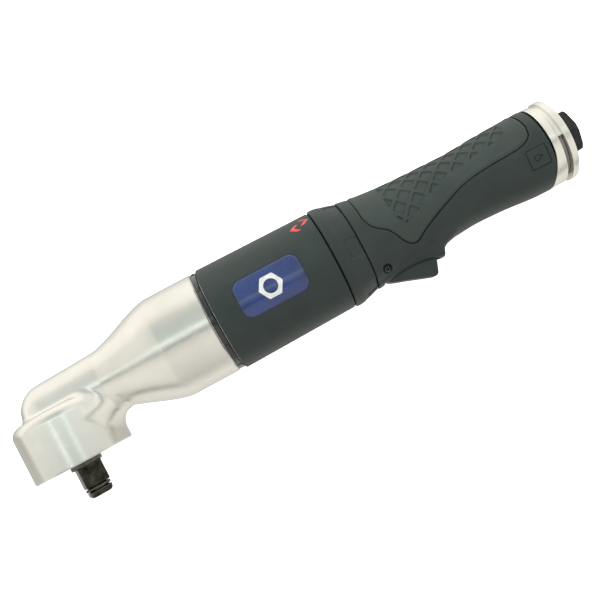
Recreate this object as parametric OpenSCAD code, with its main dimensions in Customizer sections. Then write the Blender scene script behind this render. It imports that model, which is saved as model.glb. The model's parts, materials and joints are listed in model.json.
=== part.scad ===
// Right-angle air impact ratchet, lying on its side.
// Frame: +X runs along the motor axis from the head to the air inlet, the square drive
// points along -Y, and +Z is the side that faces up. The origin is the centre of the
// shoulder that a socket seats against. Unless a comment says otherwise, x is measured
// from the drive axis, and "drop" is the distance below the motor axis, towards the drive.

/* [Square drive] */
// Square across its flats
drive_af = 12.7; // [12.6:0.05:12.8]
// Length of the square beyond its shoulder
drive_length = 16.7; // [15:0.1:18]
// Angle that the square has stopped at, about the drive axis
drive_turn = 66; // [0:1:90]

/* [Angle head] */
// Distance from the motor axis to the socket's shoulder
axis_y = 33.5; // [33:0.1:36]
// Radius of the round gear head
head_r = 26.7; // [26:0.1:29]
// Radius of the neck where it meets the head
neck_r = 15.1; // [15:0.1:16]
// Radius of the casing over the hammers
case_r = 28; // [27.6:0.1:29]

/* [Motor sleeve and reversing ring] */
// Radius of the sleeve at its front
sleeve_front_r = 28.4; // [28:0.1:29]
// Radius of the sleeve at its rear
sleeve_rear_r = 27.3; // [27:0.1:28.5]
// Radius of the reversing ring's front band
ring_r = 27.7; // [27:0.1:28.5]
// How far the reversing ring turns, in degrees
ring_travel = 40; // [20:1:40]

/* [Handle] */
// Radius of the handle at its front
handle_front_r = 24.9; // [24.6:0.1:25.4]
// Radius of the handle at its waist
handle_waist_r = 20; // [19.8:0.1:20.6]
// Radius of the handle at its rear
handle_rear_r = 22; // [21.8:0.1:22.2]
// Thickness of the rubber grip
grip_thickness = 2.2; // [1.6:0.1:2.4]

/* [Air inlet] */
// Hexagon of the inlet bushing across its flats
inlet_af = 22; // [21:0.5:24]
// Radius of the threaded air inlet at the crest of the thread
inlet_r = 5.72; // [5.6:0.01:5.8]
// Depth of the threaded air inlet
inlet_depth = 14; // [12:0.5:14]

/* [Gears] */
// Module of the bevel gears at their heel
gear_module = 1.5; // [1.5]
// Teeth on the pinion
pinion_teeth = 12; // [12]
// Teeth on the spindle gear
gear_teeth = 20; // [20]

/* [Motor] */
// Radius of the rotor
rotor_r = 15.1; // [14:0.1:15.1]
// Vanes in the rotor
vane_count = 6; // [4:1:7]
// Offset of the motor chamber from the rotor's axis
chamber_offset = 1.9; // [1.5:0.1:1.9]

/* [Hidden] */
$fn = 64;

// How far a cutting shape runs past the face it cuts
over = 1;
// Radial clearance of a shaft that runs in a bore
run_fit = 0.05;

// Head and spindle: places are drops from the motor axis
head_face = axis_y - 2.2;
shoulder_drop = 0.5;
shoulder_round = 5.5;
head_cavity_r = 21.5;
cap_r = 23.4;
cap_top = 23;
spindle_r = 8.5;
journal_r = 5.5;
bush_r = 12;
top_bush_r = 7.5;

// Neck and hammer case: places along the motor axis
dome_x = -3.4;
flare_start = 29;
flare_start_r = 16.5;
flare_end = 65;
case_end = 92.2;
spigot_end = 100;
spigot_r = 26.5;
hammer_cavity_start = 62;
hammer_cavity_r = 24.5;

// Bearings of the pinion
pinion_bore_r = 11;
front_bearing = [19, 31];
front_bearing_r = 11.5;
rear_bush = [46, 58];
rear_bush_r = 12;
pinion_shaft_r = 7;

// Impact mechanism
anvil_start = 60.2;
anvil_core_r = 7.6;
anvil_pilot_r = 5;
anvil_end = 94;
anvil_hex_af = 9;
wing_r = 10.1;
wing_span = 48;
jaw_inner_r = 8.2;
jaw_span = 40;
hammer_r = 20.8;
hammer_hole_r = 11.6;
hammer_half_width = 17.6;
hammer_pin_at = 17.3;
hammer_pin_r = 2.2;
front_hammer_span = [68.3, 79.3];
rear_hammer_span = [79.6, 90.6];
frame_front = [64, 68];
frame_rear = [91, 96];
frame_r = 23.2;
frame_hub_end = 99;

// Motor
front_plate = [100, 106];
chamber = [106, 142];
rear_plate = [142, 148];
chamber_r = 17.2;
motor_r = 24.4;
rotor_bearing_r = 9.5;
rotor_front_shaft_r = 4.5;
rotor_rear_shaft_r = 4;
rotor_hex_af = 7;
tie_screw_at = 20.7;
tie_screw_r = 1.5;
dowel_r = 1.4;
dowel_angle = 20;
handle_front = 149;

// Sleeve, badge, front ring and reversing ring
sleeve = [95.6, 160.5];
sleeve_bore_r = 25.2;
badge_x = 126.5;
badge_rise = 0.9;
front_ring_span = [92.4, 95.4];
ring = [160.85, 175.2];
ring_band_end = 167;
ring_rear_r = 24.9;
ring_bore_r = 22.5 + run_fit;
ring_pads = 6;
pad_start = 15.3;
pad_width = 37;
spigot_rear_r = 22.5;
spigot_rear_end = 175.55;
valve_rotor_r = 9;
key_x = 167.5;
key_r = 2.4;
key_rest = 90 - ring_travel / 2;
detent_x = 168;
detent_r = 2;

// Handle and throttle
waist_x = 235;
handle_end = 283.5;
duct_at = 12.5;
duct_r = 3.2;
supply_r = 7;
hub_r = 13.5;
muffler_chamber = [268, handle_end];
muffler_r = [13, 17.4];
pivot_x = 182.5;
pivot_drop = 18.5;
trigger_pin_r = 1.5;
trigger_half_width = 6.7;
slot_half_width = 7.1;
slot_roof = 14.5;
valve_x = 199;
stem_r = 2.5;
stem_tip = 22;
valve_head_r = 5.4;
valve_bore_r = 7.5;
valve_bore_top = -10;
seat_span = [1, 3];
bush_span = [8, 14.3];
head_span = [-1.6, 0.9];
passage_drop = 5.6;

// Rear collar, deflector and inlet
collar_end = 288.2;
collar_outer_r = 21.8;
collar_inner_r = 19.4;
collar_start = 278;
deflector = [288.5, 294.9];
deflector_r = 22.4;
deflector_wall_r = 19.4;
groove_end = 291.1;
groove_floor_r = 21.1;
hub_end = 295;
hex = [295.2, 303.8];
thread_start = 270;
thread_r = 10;

// The rubber grip's lower edge on each side, as x and height above the motor axis
grip_edge = [
    [182.4, 30], [182.6, 9.1], [184.2, 4.1], [187, 1.1], [190.5, -1.4], [193.3, -5.2],
    [196, -10.2], [199.5, -13.2], [203, -13.2], [208, -10.3], [216, -6.6], [225, -3],
    [234, 0.1], [243, 1.8], [254, 2.6], [264, 2.9], [271, 3.7], [275.5, 6.6], [277.5, 11.7],
    [277.5, 30]
];
// The line where the handle meets the rear collar, as x and drop: it runs forward on the
// trigger's side
collar_line = [
    [handle_end, -30], [handle_end, 3], [282.9, 9], [281.4, 15], [279.8, 20], [279, 30]
];
// The trigger boss from the side, as x and drop, from the front of the handle to the
// lip behind the trigger and the finger notch behind that
boss_outline = [
    [176, 8], [176, 24.2], [183.4, 24.2], [191.6, 23.5], [199.9, 23.9], [207.1, 25.3],
    [212.8, 26.7], [213.8, 25.4], [214.8, 23], [218.2, 20.7], [222, 19.4], [222, 8]
];
// The trigger from the side, as x and drop
trigger_outline = [
    [180, 19], [180.2, 22], [181.7, 25.4], [202.8, 33], [204.6, 33.2], [205.9, 32.2],
    [208.2, 26.3], [208, 22.3], [206.5, 22], [190, 22], [186, 17]
];

// Gear cones meet where the motor axis crosses the drive axis. The teeth run in from
// their heel to this share of their distance from there.
toe_share = 0.67;
gear_backlash = 0.15;

// ---------------------------------------------------------------- placing and profiles

// Z of the child runs along +X, and Y of the child along +Y
module on_motor_axis(x = 0)
    translate([x, axis_y, 0])
        rotate([0, 90, 0])
            children();

// Z of the child runs along -Y, away from the motor axis
module on_drive_axis(drop = 0)
    translate([0, axis_y - drop, 0])
        rotate([90, 0, 0])
            children();

// Z of the child runs across the tool, from a point given by x and drop
module across(x, drop)
    translate([x, axis_y - drop, 0])
        children();

module rod(span, r)
    on_motor_axis(span[0])
        cylinder(h = span[1] - span[0], r = r);

module collar(span, outer_r, inner_r)
    difference() {
        rod(span, outer_r);
        rod([span[0] - over, span[1] + over], inner_r);
    }

module stub(span, r)
    on_drive_axis(span[0])
        cylinder(h = span[1] - span[0], r = r);

module stub_ring(span, outer_r, inner_r)
    difference() {
        stub(span, outer_r);
        stub([span[0] - over, span[1] + over], inner_r);
    }

module hex_bar(span, af, turn = 0)
    on_motor_axis(span[0])
        rotate([0, 0, turn])
            cylinder(h = span[1] - span[0], r = af / 2 / cos(30), $fn = 6);

// A side outline given as x and drop, made a plate across the tool
module side_plate(outline, half_width)
    translate([0, axis_y, -half_width])
        linear_extrude(2 * half_width)
            polygon([for (p = outline) [p[0], -p[1]]]);

function arc(centre, r, from, to, steps = 6) =
    [for (i = [0 : steps]) centre + r * [cos(from + (to - from) * i / steps),
                                         sin(from + (to - from) * i / steps)]];

function smooth(t) = t * t * (3 - 2 * t);

// The flare between the neck and the hammer case
function flare_r(x) =
    let (t = (x - flare_start) / (flare_end - flare_start))
    flare_start_r + (case_r - flare_start_r) * (t + smooth(t)) / 2;

// The handle narrows to its waist and fills out again towards its rear
function handle_r(x) =
    let (u = (waist_x - x) / (waist_x - 176), v = (x - waist_x) / (280 - waist_x))
    x < waist_x
        ? handle_waist_r + (handle_front_r - handle_waist_r) * (0.58 * u + 0.42 * pow(u, 4))
        : handle_waist_r + (handle_rear_r - handle_waist_r) * smooth(min(v, 1));

function sleeve_r(x) =
    sleeve_front_r
        + (sleeve_rear_r - sleeve_front_r) * (x - sleeve[0]) / (sleeve[1] - sleeve[0]);

// ------------------------------------------------------------------------ bevel gears

function involute_angle(base_r, r) =
    let (a = acos(min(1, base_r / r)))
    tan(a) * 180 / PI - a;

// One flank as [distance up the tooth from the pitch cone, half angle on the back cone]
function flank(teeth, cone, up, down) =
    let (v_r = gear_module * teeth / cos(cone) / 2,
         base_r = v_r * cos(20),
         half = 90 * cos(cone) / teeth - gear_backlash / v_r * 180 / PI
              + involute_angle(base_r, v_r))
    [for (e = [-down, min(-0.4 * down, base_r - v_r), 0, up / 2, up])
        [e, half - involute_angle(base_r, max(base_r, v_r + e))]];

// Heel outline of the whole gear: tooth by tooth, up one flank and down the other
function heel_points(teeth, cone, up, down, phase) =
    let (side = flank(teeth, cone, up, down),
         pitch_r = gear_module * teeth / 2,
         pitch_z = pitch_r / tan(cone))
    [for (i = [0 : teeth - 1], s = [-1, 1], k = [0 : 4])
        let (p = side[s < 0 ? k : 4 - k],
             a = phase + 360 * i / teeth + s * p[1] / cos(cone),
             r = pitch_r + p[0] * cos(cone))
        [r * cos(a), r * sin(a), pitch_z - p[0] * sin(cone)]];

// A straight bevel gear whose cones meet at the origin, opening along +Z
module bevel_teeth(teeth, cone, up, down, phase, heel_z, toe_z) {
    heel = heel_points(teeth, cone, up, down, phase);
    n = len(heel);
    points = concat(heel, heel * toe_share, [[0, 0, heel_z], [0, 0, toe_z]]);
    faces = [for (i = [0 : n - 1])
        let (j = (i + 1) % n)
        each [[i, j, n + j], [i, n + j, n + i], [j, i, 2 * n], [n + i, n + j, 2 * n + 1]]];
    polyhedron(points, faces, convexity = 10);
}

// ------------------------------------------------------------------------------ springs

// A round-wire compression spring along +Z
module coil_spring(length, coil_r, wire_r, turns) {
    steps = 10 * turns;
    sides = 6;
    rise = (length - 2 * wire_r) / steps;
    points = [for (i = [0 : steps], k = [0 : sides - 1])
        let (a = 36 * i, b = 360 * k / sides, r = coil_r + wire_r * cos(b))
        [r * cos(a), r * sin(a), wire_r + rise * i + wire_r * sin(b)]];
    walls = [for (i = [0 : steps - 1], k = [0 : sides - 1])
        let (m = (k + 1) % sides, a = i * sides, b = a + sides)
        each [[a + k, b + k, b + m], [a + k, b + m, a + m]]];
    ends = [[for (k = [0 : sides - 1]) k],
            [for (k = [sides - 1 : -1 : 0]) steps * sides + k]];
    polyhedron(points, concat(walls, ends), convexity = 10);
}

// --------------------------------------------------------------------------- angle head

module head_solid()
    on_drive_axis()
        rotate_extrude()
            polygon(concat(
                [[0, shoulder_drop]],
                arc([head_r - shoulder_round, shoulder_drop + shoulder_round],
                    shoulder_round, -90, 0),
                [[head_r, head_face - 0.8], [head_r - 0.8, head_face], [0, head_face]]));

module neck_solid()
    on_motor_axis()
        rotate_extrude()
            polygon(concat(
                arc([0, dome_x], neck_r, -90, 0, 8),
                [for (x = [flare_start : 4 : flare_end]) [flare_r(x), x]],
                [[case_r, case_end - 0.6], [case_r - 0.6, case_end],
                 [spigot_r, case_end], [spigot_r, spigot_end], [0, spigot_end]]));

module grease_hole(r)
    across(34.8, 17.7)
        rotate([-90, 0, 0])
            cylinder(h = 7, r = r);

module angle_housing()
    color("gainsboro")
        difference() {
            union() {
                head_solid();
                neck_solid();
            }
            stub([shoulder_drop + 4.5, cap_top + over], head_cavity_r);
            stub([cap_top, head_face + over], cap_r);
            stub([-11.6, 6], top_bush_r);
            rod([7, 20], pinion_bore_r);
            rod([front_bearing[0], rear_bush[0] + over], front_bearing_r);
            rod([rear_bush[0], hammer_cavity_start + over], rear_bush_r);
            rod([hammer_cavity_start, spigot_end + over], hammer_cavity_r);
            grease_hole(2.5);
            across(34.8, 18.6)
                rotate([-90, 0, 0])
                    cylinder(h = 1.2, r = 3.1);
        }

module grease_screw()
    color("dimgray")
        difference() {
            across(34.8, 17.2)
                rotate([-90, 0, 0])
                    cylinder(h = 5, r = 2.5);
            across(34.8, 17.2 + over)
                rotate([-90, 0, 0])
                    cylinder(h = 2.4 + over, r = 1.4, $fn = 6);
        }

// Threaded ring that closes the head, with holes for a pin spanner
module spindle_cap()
    color("silver")
        difference() {
            stub([cap_top, head_face], cap_r);
            stub([cap_top - over, head_face + over], bush_r);
            for (a = [0 : 90 : 270])
                on_drive_axis(head_face - 3)
                    rotate([0, 0, a])
                        translate([18, 0, 0])
                            cylinder(h = 3 + over, r = 1.8);
        }

module spindle_top_bush()
    color("darkgoldenrod")
        stub_ring([-11.5, -4], top_bush_r, journal_r + run_fit);

module spindle_lower_bush()
    color("darkgoldenrod")
        difference() {
            union() {
                stub([20, 23], 14.5);
                stub([23, head_face], bush_r);
            }
            stub([20 - over, head_face + over], spindle_r + run_fit);
        }

// Spindle with the square that drives the socket
module square_drive()
    color("dimgray") {
        stub([-11.2, shoulder_drop + 5.2], journal_r);
        stub([shoulder_drop + 4.9, axis_y], spindle_r);
        on_drive_axis(axis_y)
            rotate([0, 0, drive_turn]) {
                intersection() {
                    translate([-drive_af / 2, -drive_af / 2, -0.5])
                        cube([drive_af, drive_af, 11.6]);
                    cylinder(h = 11.1, r = drive_af * 0.665);
                }
                cylinder(h = 13.6, r = 4.9);
                intersection() {
                    translate([-drive_af / 2, -drive_af / 2, 13.4])
                        cube([drive_af, drive_af, drive_length - 13.4]);
                    translate([0, 0, 13.4])
                        cylinder(h = drive_length - 13.4, r1 = 8.2, r2 = 6.6);
                }
            }
    }

module socket_retainer()
    color("black")
        stub_ring([axis_y + 11.5, axis_y + 13], 6.75, 5.75);

module retainer_oring()
    color("darkslategray")
        stub_ring([axis_y + 11.4, axis_y + 13.1], 5.7, 4.9);

module bevel_gear()
    color("slategray")
        on_drive_axis()
            difference() {
                union() {
                    bevel_teeth(gear_teeth, atan(gear_teeth / pinion_teeth), 0.8 * gear_module,
                                1.25 * gear_module, 180 / gear_teeth, 12, 6.5);
                    translate([0, 0, 10])
                        cylinder(h = 9.8, r = 12.6);
                }
                cylinder(h = 30, r = spindle_r);
            }

// ---------------------------------------------------------------- pinion and hammers

module bevel_pinion()
    color("lightslategray") {
        on_motor_axis()
            bevel_teeth(pinion_teeth, atan(pinion_teeth / gear_teeth), 0.9 * gear_module,
                        1.4 * gear_module, 0, 15.8, 9.8);
        rod([14, front_bearing[0] - 0.2], 6.8);
        rod([18, 60], pinion_shaft_r);
        rod([front_bearing[1] + 0.3, 33.5], 9);
        hex_bar([59, 69.5], anvil_hex_af);
    }

module pinion_front_bearing()
    color("lightsteelblue")
        collar(front_bearing, front_bearing_r, pinion_shaft_r + run_fit);

module pinion_rear_bush()
    color("darkgoldenrod")
        collar(rear_bush, rear_bush_r, pinion_shaft_r + run_fit);

module thrust_washer()
    color("silver")
        collar([58.1, 59.4], 11, pinion_shaft_r + 0.4);

module sector(span, from, to, inner_r, outer_r)
    on_motor_axis(span[0])
        rotate([0, 0, from])
            rotate_extrude(angle = to - from)
                translate([inner_r, 0])
                    square([outer_r - inner_r, span[1] - span[0]]);

// The anvil turns the pinion. Each hammer strikes a wing of its own.
module impact_anvil()
    color("slategray")
        difference() {
            union() {
                rod([anvil_start, 68], pinion_shaft_r);
                rod([68, 90.9], anvil_core_r);
                rod([90.8, anvil_end], anvil_pilot_r);
                sector([69, 79.2], 122, 122 + wing_span, anvil_core_r - 1, wing_r);
                sector([79.8, 90], 302, 302 + wing_span, anvil_core_r - 1, wing_r);
            }
            hex_bar([anvil_start - over, 70], anvil_hex_af);
        }

// Turns with the rotor and carries both hammers on their pins
module hammer_frame()
    color("gray")
        difference() {
            union() {
                collar(frame_front, frame_r, hammer_hole_r - 0.6);
                rod(frame_rear, frame_r);
                rod([frame_rear[1], frame_hub_end], 8);
                for (side = [0, 180])
                    sector([frame_front[1] - 0.5, frame_rear[0] + 0.5], side - 15, side + 15,
                           20.4, frame_r - 0.4);
            }
            rod([frame_rear[0] - over, anvil_end + 0.3], anvil_pilot_r + run_fit);
            hex_bar([anvil_end, frame_hub_end + over], rotor_hex_af);
            for (pin = [90, 270])
                hammer_pin_bar([frame_front[0] - over, frame_rear[1] + over], pin);
        }

module hammer_pin_bar(span, angle, r = hammer_pin_r)
    on_motor_axis(span[0])
        rotate([0, 0, angle])
            translate([hammer_pin_at, 0, 0])
                cylinder(h = span[1] - span[0], r = r);

module hammer_pins()
    color("silver")
        for (pin = [90, 270])
            hammer_pin_bar([frame_front[0], frame_rear[1]], pin);

// A hammer that rocks on the pin at this angle and clears the other pin
module hammer(span, pin_angle)
    difference() {
        intersection() {
            union() {
                collar(span, hammer_r, hammer_hole_r);
                sector(span, pin_angle - 10, pin_angle - 10 + jaw_span, jaw_inner_r,
                       hammer_hole_r + 1);
            }
            translate([span[0], axis_y - 40, -hammer_half_width])
                cube([span[1] - span[0], 80, 2 * hammer_half_width]);
        }
        hammer_pin_bar([span[0] - over, span[1] + over], pin_angle, hammer_pin_r + run_fit);
        sector([span[0] - over, span[1] + over], pin_angle + 162, pin_angle + 198, 14.7,
               hammer_r + over);
    }

module front_hammer()
    color("darkgray")
        hammer(front_hammer_span, 90);

module rear_hammer()
    color("darkgray")
        hammer(rear_hammer_span, 270);

// -------------------------------------------------------------------------------- motor

module tie_screw_bars(span, r)
    for (a = [45 : 90 : 315])
        on_motor_axis(span[0])
            rotate([0, 0, a])
                translate([tie_screw_at, 0, 0])
                    cylinder(h = span[1] - span[0], r = r);

module dowel_bar(span, r)
    on_motor_axis(span[0])
        rotate([0, 0, dowel_angle])
            translate([tie_screw_at, 0, 0])
                cylinder(h = span[1] - span[0], r = r);

module front_end_plate()
    color("darkgray")
        difference() {
            rod(front_plate, motor_r);
            rod([front_plate[0] - over, front_plate[1] + over], 6);
            rod([front_plate[1] - 5, front_plate[1] + over], rotor_bearing_r);
            tie_screw_bars([front_plate[0] - over, front_plate[1] + over], tie_screw_r);
        }

module rear_end_plate()
    color("darkgray")
        difference() {
            rod(rear_plate, motor_r);
            rod([rear_plate[0] - over, rear_plate[0] + 5], rotor_bearing_r);
            tie_screw_bars([rear_plate[0] - over, rear_plate[1] + over], tie_screw_r);
            dowel_bar([rear_plate[0] - over, rear_plate[1] + over], dowel_r);
            for (a = [0, 180])
                on_motor_axis(rear_plate[0] - over)
                    rotate([0, 0, a])
                        translate([duct_at + 0.6, 0, 0])
                            cylinder(h = 8, r = 2.2);
        }

// The chamber is offset from the rotor, so that the vanes work in a crescent of air
module motor_cylinder()
    color("silver")
        difference() {
            rod(chamber, motor_r);
            translate([0, chamber_offset, 0])
                rod([chamber[0] - over, chamber[1] + over], chamber_r);
            tie_screw_bars([chamber[0] - over, chamber[1] + over], tie_screw_r);
            dowel_bar([chamber[1] - 4, chamber[1] + over], dowel_r);
            for (x = [114 : 5 : 134])
                across(x, 0)
                    rotate([-90, 0, 0])
                        cylinder(h = motor_r + over, r = 1.4);
        }

module rotor_slots(half_thickness, inner_r, outer_r, span)
    for (i = [0 : vane_count - 1])
        on_motor_axis(span[0])
            rotate([0, 0, 360 * i / vane_count])
                translate([inner_r, -half_thickness, 0])
                    cube([outer_r - inner_r, 2 * half_thickness, span[1] - span[0]]);

module rotor()
    color("slategray") {
        difference() {
            rod([chamber[0] + 0.3, chamber[1] - 0.3], rotor_r);
            rotor_slots(1.25, 8.3, rotor_r + over, [chamber[0] - over, chamber[1] + over]);
        }
        rod([frame_hub_end + 0.1, chamber[0] + 1], rotor_front_shaft_r);
        hex_bar([anvil_end + 0.8, frame_hub_end + 0.5], rotor_hex_af);
        rod([chamber[1] - 1, rear_plate[0] + 4.8], rotor_rear_shaft_r);
    }

module rotor_vanes()
    color("saddlebrown")
        intersection() {
            rotor_slots(1.2, 8.5, rotor_r + over, [chamber[0] + 0.4, chamber[1] - 0.4]);
            rod(chamber, rotor_r + 0.05);
        }

module front_rotor_bearing()
    color("lightsteelblue")
        collar([front_plate[1] - 5, front_plate[1]], rotor_bearing_r,
               rotor_front_shaft_r + run_fit);

module rear_rotor_bearing()
    color("lightsteelblue")
        collar([rear_plate[0], rear_plate[0] + 5], rotor_bearing_r,
               rotor_rear_shaft_r + run_fit);

module locating_dowel()
    color("silver")
        dowel_bar([chamber[1] - 4, handle_front + 4], dowel_r);

module motor_gasket()
    color("darkslategray")
        difference() {
            collar([rear_plate[1], handle_front], spigot_rear_r, valve_rotor_r + 0.1);
            tie_screw_bars([rear_plate[1] - over, handle_front + over], tie_screw_r);
            dowel_bar([rear_plate[1] - over, handle_front + over], dowel_r);
        }

module tie_screws()
    color("silver")
        difference() {
            union() {
                tie_screw_bars([front_plate[0] - 2.4, front_plate[0]], 2.6);
                tie_screw_bars([front_plate[0] - over, handle_front + 8], tie_screw_r);
            }
            for (a = [45 : 90 : 315])
                on_motor_axis(front_plate[0] - 2.4 - over)
                    rotate([0, 0, a])
                        translate([tie_screw_at, 0, 0])
                            cylinder(h = 1.5 + over, r = 1.4, $fn = 6);
        }

// ------------------------------------------------------------------ sleeve and its trim

module sleeve_blank(proud)
    on_motor_axis()
        rotate_extrude()
            polygon([[0, sleeve[0]], [sleeve_front_r - 0.7 + proud, sleeve[0]],
                     [sleeve_front_r + proud, sleeve[0] + 0.9],
                     [sleeve_rear_r + 0.15 + proud, sleeve[1] - 0.6],
                     [sleeve_rear_r - 0.4 + proud, sleeve[1]], [0, sleeve[1]]]);

module badge_prism()
    translate([badge_x, axis_y + badge_rise, 0])
        linear_extrude(40)
            union() {
                square([36, 10], center = true);
                square([26, 20], center = true);
                for (x = [-13, 13], y = [-5, 5])
                    translate([x, y])
                        circle(r = 5);
            }

module motor_sleeve()
    color("darkslategray")
        difference() {
            sleeve_blank(0);
            rod([sleeve[0] - over, spigot_end + 0.3], spigot_r + 0.1);
            rod([spigot_end, handle_front + 1], sleeve_bore_r);
            rod([handle_front, sleeve[1] + over], spigot_rear_r + 0.1);
            intersection() {
                badge_prism();
                difference() {
                    sleeve_blank(2);
                    sleeve_blank(-0.6);
                }
            }
        }

module side_badge()
    color("royalblue")
        intersection() {
            badge_prism();
            difference() {
                sleeve_blank(0.3);
                sleeve_blank(-0.6);
            }
        }

module front_ring()
    color("black")
        difference() {
            on_motor_axis()
                rotate_extrude()
                    polygon([[spigot_r, front_ring_span[0]],
                             [case_r - 0.5, front_ring_span[0]],
                             [case_r - 0.1, front_ring_span[0] + 0.5],
                             [case_r - 0.1, front_ring_span[1] - 0.5],
                             [case_r - 0.5, front_ring_span[1]],
                             [spigot_r, front_ring_span[1]]]);
            for (a = [20 : 60 : 320])
                on_motor_axis(front_ring_span[0] - over)
                    rotate([0, 0, a])
                        translate([case_r - 0.7, -2, 0])
                            cube([3, 4, 2]);
        }

// ---------------------------------------------------------------------- reversing ring

module reverse_ring()
    color("darkslategray")
        difference() {
            union() {
                on_motor_axis()
                    rotate_extrude()
                        polygon([[ring_bore_r, ring[0]], [ring_r - 0.5, ring[0]],
                                 [ring_r, ring[0] + 0.6], [ring_r, ring_band_end],
                                 [ring_rear_r - 0.2, ring[1] - 0.5],
                                 [ring_rear_r - 0.6, ring[1]], [ring_bore_r, ring[1]]]);
                intersection() {
                    for (i = [0 : ring_pads - 1])
                        sector([ring_band_end - 2, ring[1] - 1],
                               i * 360 / ring_pads + pad_start,
                               i * 360 / ring_pads + pad_start + pad_width,
                               ring_rear_r - 1.5, ring_r + 1);
                    on_motor_axis()
                        rotate_extrude()
                            polygon([[ring_bore_r, ring[0] + 1], [ring_r, ring[0] + 1],
                                     [ring_r, ring_band_end + 1.5],
                                     [ring_rear_r + 0.1, ring[1] - 1],
                                     [ring_bore_r, ring[1] - 1]]);
                }
            }
            key_bar(0, 25.2);
        }

module key_bar(from_r, to_r, r = key_r)
    on_motor_axis(key_x)
        rotate([0, 0, key_rest])
            rotate([0, 90, 0])
                translate([0, 0, from_r])
                    cylinder(h = to_r - from_r, r = r);

module reverse_key()
    color("silver")
        key_bar(2, 25.1);

// Rotary valve: its two side ports feed one side of the motor or the other
module reverse_valve()
    color("lightslategray")
        difference() {
            rod([handle_front + 0.6, 172], valve_rotor_r);
            rod([168, 172 + over], 5.6);
            key_bar(2, valve_rotor_r + over);
            on_motor_axis(handle_front)
                for (a = [20, 160])
                    rotate([0, 0, a])
                        translate([5, 0, 0])
                            cylinder(h = 21, r = 2.2);
        }

module detent_pocket(from_r, to_r, r)
    across(detent_x, from_r)
        rotate([90, 0, 0])
            cylinder(h = to_r - from_r, r = r);

module detent_ball()
    color("silver")
        across(detent_x, spigot_rear_r - detent_r - 0.1)
            sphere(r = detent_r);

module detent_spring()
    color("silver")
        across(detent_x, 12.2)
            rotate([90, 0, 0])
                coil_spring(6, 1.5, 0.3, 6);

// ------------------------------------------------------------------------------- handle

module handle_blank(shrink)
    on_motor_axis()
        rotate_extrude()
            polygon(concat(
                [[0, spigot_rear_end], [handle_front_r - 0.7 - shrink, spigot_rear_end]],
                [for (x = [176.2 : 7.5 : 280]) [handle_r(x) - shrink, x]],
                arc([handle_rear_r - 2.5, handle_end - 2.5], 2.5 - min(shrink, 2), 0, 90, 4),
                [[0, handle_end]]));

module grip_zone()
    translate([0, axis_y, -40])
        linear_extrude(80)
            polygon(grip_edge);

module grip_overmold()
    color("dimgray")
        intersection() {
            difference() {
                handle_blank(0);
                handle_blank(grip_thickness);
            }
            grip_zone();
        }

// Seen along the tool: the boss's straight sides and rounded lower corners
module boss_section()
    on_motor_axis(170)
        rotate([0, 0, -90])
            linear_extrude(60)
                union() {
                    translate([6, -11])
                        square([16.5, 22]);
                    translate([6, -7])
                        square([22, 14]);
                    for (side = [-7, 7])
                        translate([22.5, side])
                            circle(r = 4);
                }

module trigger_boss()
    intersection() {
        side_plate(boss_outline, 12);
        boss_section();
    }

module pin_bar(half_length, r)
    across(pivot_x, pivot_drop)
        cylinder(h = 2 * half_length, r = r, center = true);

module valve_bore(span, r)
    across(valve_x, span[0])
        rotate([90, 0, 0])
            cylinder(h = span[1] - span[0], r = r);

module handle_housing()
    color("darkslategray")
        difference() {
            union() {
                difference() {
                    handle_blank(0);
                    intersection() {
                        difference() {
                            handle_blank(-3);
                            handle_blank(grip_thickness);
                        }
                        grip_zone();
                    }
                }
                trigger_boss();
                rod([handle_front, spigot_rear_end + over], spigot_rear_r);
                rod([handle_end - over, hub_end], hub_r);
            }
            // The reversing valve and the slot that its key swings in
            rod([handle_front - over, 172.4], valve_rotor_r + 0.1);
            sector([key_x - key_r - 0.4, key_x + key_r + 0.4], 90 - ring_travel / 2 - 17,
                   90 + ring_travel / 2 + 17, valve_rotor_r - 1, spigot_rear_r + over);
            detent_pocket(12, spigot_rear_r + over, detent_r + 0.05);
            tie_screw_bars([handle_front - over, handle_front + 8], tie_screw_r);
            dowel_bar([handle_front - over, handle_front + 4], dowel_r);
            // Air in: inlet thread, supply bore, throttle chamber, passage to the valve
            rod([thread_start, hub_end + over], thread_r);
            rod([215, thread_start + over], supply_r);
            across(valve_x, -5)
                rotate([0, 90, 0])
                    cylinder(h = 17, r = 2.6);
            valve_bore([valve_bore_top, slot_roof + over], valve_bore_r);
            across(171, passage_drop)
                rotate([0, 90, 0])
                    cylinder(h = valve_x - 171, r = 2.3);
            // The shoulder that the rear collar is pressed onto
            intersection() {
                collar([collar_start, handle_end + over], handle_rear_r + over, collar_inner_r);
                collar_zone();
            }
            // Air out: two ducts and the ring-shaped chamber round the inlet
            for (side = [-1, 1])
                translate([handle_front - over, axis_y, side * duct_at])
                    rotate([0, 90, 0])
                        cylinder(h = muffler_chamber[0] - handle_front + 2, r = duct_r);
            collar([muffler_chamber[0], handle_end + over], muffler_r[1], muffler_r[0]);
            // The deflector's seal sits in a groove round the hub
            collar([286.5, 288.5], hub_r + over, hub_r - 1.2);
            // The trigger's slot, its pin and the recesses over the pin's ends
            side_plate([[178.6, 13.6], [178.6, 40], [210, 40], [210, slot_roof],
                        [186.4, slot_roof], [186.4, 13.6]], slot_half_width);
            pin_bar(30, trigger_pin_r);
            for (side = [-1, 1])
                across(pivot_x, pivot_drop)
                    translate([0, 0, side * 24])
                        cylinder(h = 18, r = 2.3, center = true);
        }

// Everything behind the line where the handle meets the rear collar
module collar_zone()
    side_plate(concat(collar_line, [[collar_end, 30], [collar_end, -30]]), 40);

// Fixed band between the handle and the deflector
module rear_collar()
    color("gainsboro")
        intersection() {
            collar([collar_start, collar_end], collar_outer_r, collar_inner_r);
            collar_zone();
        }

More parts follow.
